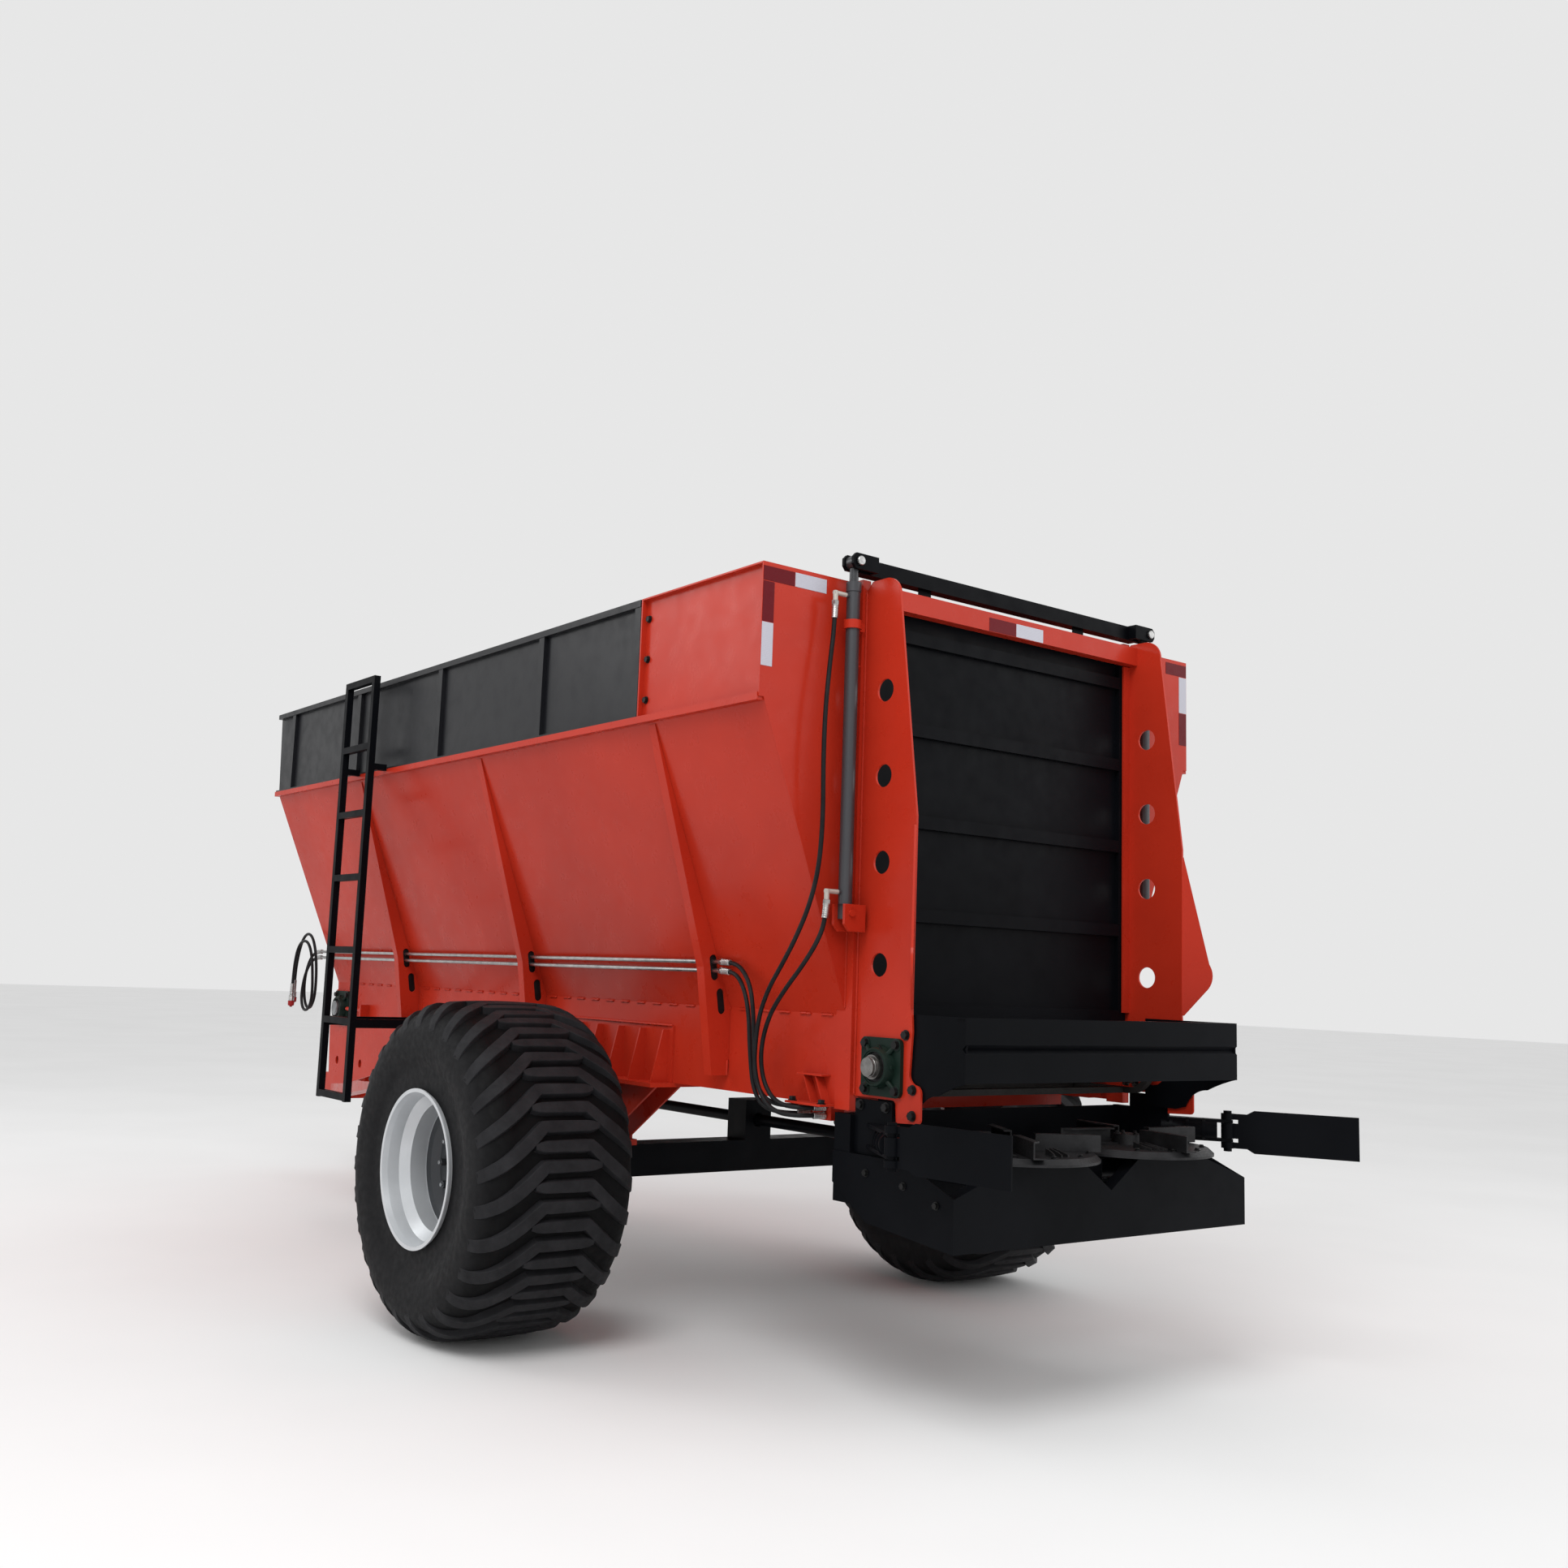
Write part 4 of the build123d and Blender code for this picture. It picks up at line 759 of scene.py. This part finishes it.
def shaft_steps():
    """Turned collar near each end of the conveyor's shafts."""
    for station, height, end, body in ((DRIVE_STATION, DRIVE_HEIGHT, 782, "conveyor_drive"),
                                       (IDLER_STATION, IDLER_HEIGHT, 790, "conveyor_idler")):
        parts = []
        for side, _ in SIDES:
            axis = Vector((side, 0, 0))
            here = at(side * (end - 14), station, height)
            steps = [(0.0, 0.0308), (0.0, 0.0338), (0.002, 0.0344),
                     (0.005, 0.0344), (0.0065, 0.0334), (0.0065, 0.0308)]
            parts.append(revolve(steps, here, axis, 64))
        p, f = join(parts)
        add_mesh(f"{body}_steps", p, f, SHAFT, body, sharp=30)


def welds():
    """Beads along the posts, the trough's upper edge, the ribs and the axle brackets."""
    post, trough, rib_foot, bracket, panel = 709, 724.5, 731, 733, 729      # x of the joint each bead fills
    bead, pitch = 62, 118                                                   # the trough's edge is stitched
    for side, name in SIDES:
        parts = [weld(at(side * post, -43, 1002), at(side * post, -43, 2748))]
        for station in range(60, 4300, pitch):
            parts.append(weld(at(side * trough, station, 1264), at(side * trough, station + bead, 1264)))
        for rib in RIB_STATIONS:
            for flank in (-1.5, 47.5):
                parts.append(weld(at(side * rib_foot, rib + flank, 1072), at(side * rib_foot, rib + flank, 1016)))
        parts.append(weld(at(side * bracket, 1022, 1182), at(side * bracket, 1890, 1182)))
        parts.append(weld(at(side * panel, -6, 1290), at(side * panel, -6, 2760), 0.0028))
        p, f = join(parts)
        add_mesh(f"weld_beads_{name}", p, f, RED, "chassis", sharp=60)


def rib_slot_shade_plates():
    """Painted shade: black plates in the hose rubber, with rolled edges, behind the long holes of the ribs, so the
    holes read as dark openings.
    """
    radius, half_straight, around, lean = 21, 31, 24, math.radians(9)
    layers = ((0.2, 0.97), (1.2, 1.0), (2.2, 1.0), (3.2, 0.97))     # (over the rib's face, scale of the outline)
    for side, name in SIDES:
        parts = []
        for rib in RIB_STATIONS:
            for x, height in ((807, 1414), (769, 1289)):
                ring = []
                for k in range(around):
                    a = 2 * math.pi * k / around
                    across = radius * math.cos(a)
                    along = radius * math.sin(a) + (half_straight if math.sin(a) > 0 else -half_straight)
                    ring.append((across * math.cos(lean) + along * math.sin(lean),
                                 along * math.cos(lean) - across * math.sin(lean)))
                points = [at(side * (x + dx * scale), rib + RIB_THICKNESS + over, height + dz * scale)
                          for over, scale in layers for dx, dz in ring]
                last = (len(layers) - 1) * around
                faces = ring_faces(len(layers), around)
                faces += [tuple(reversed(range(around))), tuple(range(last, last + around))]
                parts.append((points, faces))
        p, f = join(parts)
        # painted shade: dark plates that stand for the shade inside the rib holes
        add_mesh(f"rib_slot_shade_plates_{name}", p, f, HOSE, "chassis", sharp=50)


def brackets():
    """Bolted bracket with two leaning fins under the hoses, and the small hooks beside them."""
    parts = []
    wall = 722.5
    for side, _ in SIDES:
        parts.append(plate_block(sided(side, wall, 792), (36, 226), (956, 964)))
        parts.append(plate_block(sided(side, wall, 762), (66, 204), (1055, 1061)))
        for station in (60, 124):
            fin = plate_block(sided(side, wall, 757), (station, station + 5), (963, 1056))
            parts.append(sheared(fin, (0, 44, 0), 963, 1056))
        parts.append(plate_block(sided(side, 727, 742), (-30, -24), (2470, 2516)))
        parts.append(plate_block(sided(side, 740, 766), (-52, -24), (2470, 2476)))
        parts.append(plate_block(sided(side, 760, 766), (-52, -46), (2470, 2500)))
    p, f = join(parts)
    add_mesh("trough_brackets", p, f, RED, "chassis")
    heads = []
    for side, _ in SIDES:
        for station in (52, 208):
            heads.append(bolt(at(side * 772, station, 964), (0, 0, 1), 0.022, 0.012))
    p, f = join(heads)
    add_mesh("bracket_bolts", p, f, DARK_BOLT, "chassis", sharp=30)


def around_axis(x, station, height, radius, degrees):
    """Point on a circle about an axis along x, and the direction out from the axis."""
    a = math.radians(degrees)
    return (at(x, station + radius * math.cos(a), height + radius * math.sin(a)),
            Vector((0, math.cos(a), math.sin(a))))


def bearing_details():
    """Cast collar, ribs and bosses, the insert's rings and a grease nipple on each flange bearing."""
    rib_line = ((58, 11, 0.0085), (74, 7, 0.008), (90, 3, 0.007), (104, 0.5, 0.005))   # (from axis, proud, radius)
    boss = [(-0.001, 0.0215), (0.002, 0.0215), (0.0026, 0.0200)]
    insert = [(-0.002, 0.0335), (0.003, 0.0335), (0.003, 0.040), (0.0015, 0.0415), (0.0015, 0.0460),
              (0.003, 0.0475), (0.003, 0.0496), (-0.002, 0.0496)]
    nipple = [(0.0, 0.0045), (0.006, 0.0045), (0.007, 0.003), (0.012, 0.003), (0.014, 0.002)]
    collar = [(-0.001, 0.0500), (-0.001, 0.0690), (0.006, 0.0675), (0.028, 0.0640), (0.033, 0.0615),
              (0.033, 0.0560), (0.030, 0.0545), (0.030, 0.0500)]
    plug = [(0.0, 0.008), (0.007, 0.008), (0.008, 0.006)]
    corners = (45, 135, 225, 315)
    for station, height, face, place in ((DRIVE_STATION, DRIVE_HEIGHT, 707.5, "rear"),
                                         (IDLER_STATION, IDLER_HEIGHT, 731, "front")):
        castings, inserts = [], []
        foot = face + 14
        for side, _ in SIDES:
            axis = Vector((side, 0, 0))
            for turn in corners:
                path = [around_axis(side * (foot + proud), station, height, r, turn)[0] for r, proud, _ in rib_line]
                castings.append(tube(path, [radius for _, _, radius in rib_line], 12))
            for turn in corners:
                here, _ = around_axis(side * foot, station, height, 106, turn)
                castings.append(turned(here, axis, boss, 24))
            inserts.append(revolve(insert, at(side * (foot + 20), station, height), axis, 64))
            inserts.append(turned(at(side * (foot + 18), station - 22, height + 57),
                                  Vector((side * 0.5, 0, 0.87)), nipple, 16))
            castings.append(revolve(collar, at(side * foot, station, height), axis, 64))
            for turn in (90, 180, 270):
                here, out = around_axis(side * (foot + 12), station, height, 64, turn)
                castings.append(turned(here, out, plug, 16))
        p, f = join(castings)
        add_mesh(f"bearing_castings_{place}", p, f, GREEN, "chassis")
        p, f = join(inserts)
        add_mesh(f"bearing_inserts_{place}", p, f, DARK_BOLT, "chassis", sharp=30)


def lift_details():
    """Domed heads on the lift beam's pins."""
    dome = [(-0.004, 0.0165), (0.003, 0.0165), (0.005, 0.0145), (0.0055, 0.006)]
    parts = []
    for side, _ in SIDES:
        for station, way in ((-100, -1), (-26, 1)):
            parts.append(turned(at(side * LIFT_PIN_X, station, LIFT_PIN_HEIGHT), Vector((0, way, 0)), dome, 32))
    p, f = join(parts)
    add_mesh("lift_pin_heads", p, f, STEEL, "gate", sharp=30)


def strip(low, high, half):
    """Thin standing plate between two rows of points, half its thickness to each side."""
    points = []
    for i, (a, b) in enumerate(zip(low, high)):
        ahead = (low[min(i + 1, len(low) - 1)] - low[max(i - 1, 0)]).normalized()
        side = ahead.cross(Vector((0, 0, 1))) * half
        points += [a - side, a + side, b + side, b - side]
    faces = ring_faces(len(low), 4)
    last = 4 * (len(low) - 1)
    return points, faces + [(3, 2, 1, 0), tuple(range(last, last + 4))]


def disc_details():
    """Bolt rings, hub bolts and short curved fins on both spreading discs."""
    up, bolt_circle, hub_circle, fin_half = (0, 0, 1), 250, 42, 0.0025
    for side, name in SIDES:

        def spot(radius, angle, height):
            return at(side * DISC_X + radius * math.cos(angle), DISC_STATION + radius * math.sin(angle), height)

        bolts, fins = [], []
        for k in range(12):
            bolts.append(bolt(spot(bolt_circle, math.radians(30 * k + 15), DISC_TOP), up, 0.014, 0.006))
        for k in range(6):
            bolts.append(bolt(spot(hub_circle, math.radians(60 * k + 10), HUB_TOP), up, 0.012, 0.005))
        first = -15 if side > 0 else -75
        for k in range(3):
            turn = math.radians(first + 120 * k)
            for row in range(3):
                line = [(150 + i * 14, turn + side * (row * 0.13 + i * 0.035)) for i in range(7)]
                low = [spot(reach, a, DISC_TOP - 0.4) for reach, a in line]
                high = [spot(reach, a, DISC_TOP + 20 - 2 * i) for i, (reach, a) in enumerate(line)]
                fins.append(strip(low, high, fin_half))
        p, f = join(fins)
        add_mesh(f"disc_fins_{name}", p, f, WORN_FLAT, f"spinner_{name}", sharp=30)
        p, f = join(bolts)
        add_mesh(f"disc_bolts_{name}", p, f, DARK_BOLT, f"spinner_{name}", sharp=30)


def wheel_studs():
    """Stud ends proud of the ten wheel nuts."""
    studs, circle, proud = 10, 0.140, 0.131
    end = [(0.0, 0.008), (0.009, 0.008), (0.0105, 0.0065)]
    for side, name in SIDES:
        axis = Vector((side, 0, 0))
        parts = []
        for k in range(studs):
            a = 2 * math.pi * k / studs
            here = wheel_centre(side) + axis * proud + Vector((0, circle * math.cos(a), circle * math.sin(a)))
            parts.append(turned(here, axis, end, 16))
        p, f = join(parts)
        add_mesh(f"wheel_studs_{name}", p, f, ZINC, f"wheel_{name}", sharp=30)


# ---- floor, light and camera --------------------------------------------------------------------------------
def studio():
    """Pale matt floor, white surroundings and three soft lamps aimed at the machine."""
    reach = 60.0
    corners = [(-reach, -reach, 0), (reach, -reach, 0), (reach, reach, 0), (-reach, reach, 0)]
    floor_data = bpy.data.meshes.new("floor")
    floor_data.from_pydata(corners, [], [(0, 1, 2, 3)])
    floor = bpy.data.objects.new("floor", floor_data)
    bpy.context.scene.collection.objects.link(floor)
    s = Shader("pale_floor")
    s.set(Specular_IOR_Level=0.2)
    s.colour(s.mix(s.spread(s.noise(0.6), 0.3, 0.7), (0.86, 0.86, 0.86), (0.83, 0.83, 0.83)))
    s.rough(3.0, 3.0, 0.75, 0.85)
    floor_data.materials.append(s.material)
    world = bpy.data.worlds.new("studio")
    bpy.context.scene.world = world
    world.use_nodes = True
    background = world.node_tree.nodes["Background"]
    background.inputs["Color"].default_value = (1.0, 1.0, 1.0, 1.0)
    background.inputs["Strength"].default_value = 0.8
    aim = Vector((0, 0, 1.2))
    for name, place, size, power in (        # metres and watts
        ("key", (-5.5, -6.0, 8.5), 5.0, 420.0),
        ("fill", (6.0, -8.0, 5.0), 6.0, 110.0),
        ("rim_light", (-7.0, 5.0, 6.0), 4.0, 120.0),
    ):
        light = bpy.data.lights.new(name, "AREA")
        light.shape = "DISK"
        light.size = size
        light.energy = power
        lamp = bpy.data.objects.new(name, light)
        lamp.location = place
        lamp.rotation_mode = "QUATERNION"
        lamp.rotation_quaternion = (aim - Vector(place)).to_track_quat("-Z", "Y")
        bpy.context.scene.collection.objects.link(lamp)


def camera():
    """Pinhole camera fitted to the photograph: behind the machine, low and to its left."""
    yaw, pitch, roll = (math.radians(a) for a in (-36.4, 7.9, 2.2))
    ahead = Vector((-math.sin(yaw) * math.cos(pitch), math.cos(yaw) * math.cos(pitch), math.sin(pitch)))
    right = Vector((math.cos(yaw), math.sin(yaw), 0))
    up = right.cross(ahead)
    across = right * math.cos(roll) + up * math.sin(roll)
    above = up * math.cos(roll) - right * math.sin(roll)
    data = bpy.data.cameras.new("camera")
    data.sensor_width = 36.0
    data.lens = 34.74
    data.shift_x = 0.0327
    data.shift_y = -0.0111
    data.clip_end = 200.0
    view = bpy.data.objects.new("camera", data)
    turn = Matrix((across, above, -ahead)).transposed().to_4x4()
    view.matrix_world = Matrix.Translation(at(-4169, -3974, 1382)) @ turn
    bpy.context.scene.collection.objects.link(view)
    bpy.context.scene.camera = view


# ---- build --------------------------------------------------------------------------------------------------
camera()
hoses()
dress_cad_nodes()
for side, name in SIDES:
    build_carcass(side, name)
    build_lugs(side, name)
welds()
shaft_steps()
tapes()
# painted shade: dark plates behind the rib holes
rib_slot_shade_plates()
brackets()
bearing_details()
lift_details()
disc_details()
wheel_studs()
studio()
bpy.context.scene.view_settings.view_transform = "Standard"

bpy.context.view_layer.update()
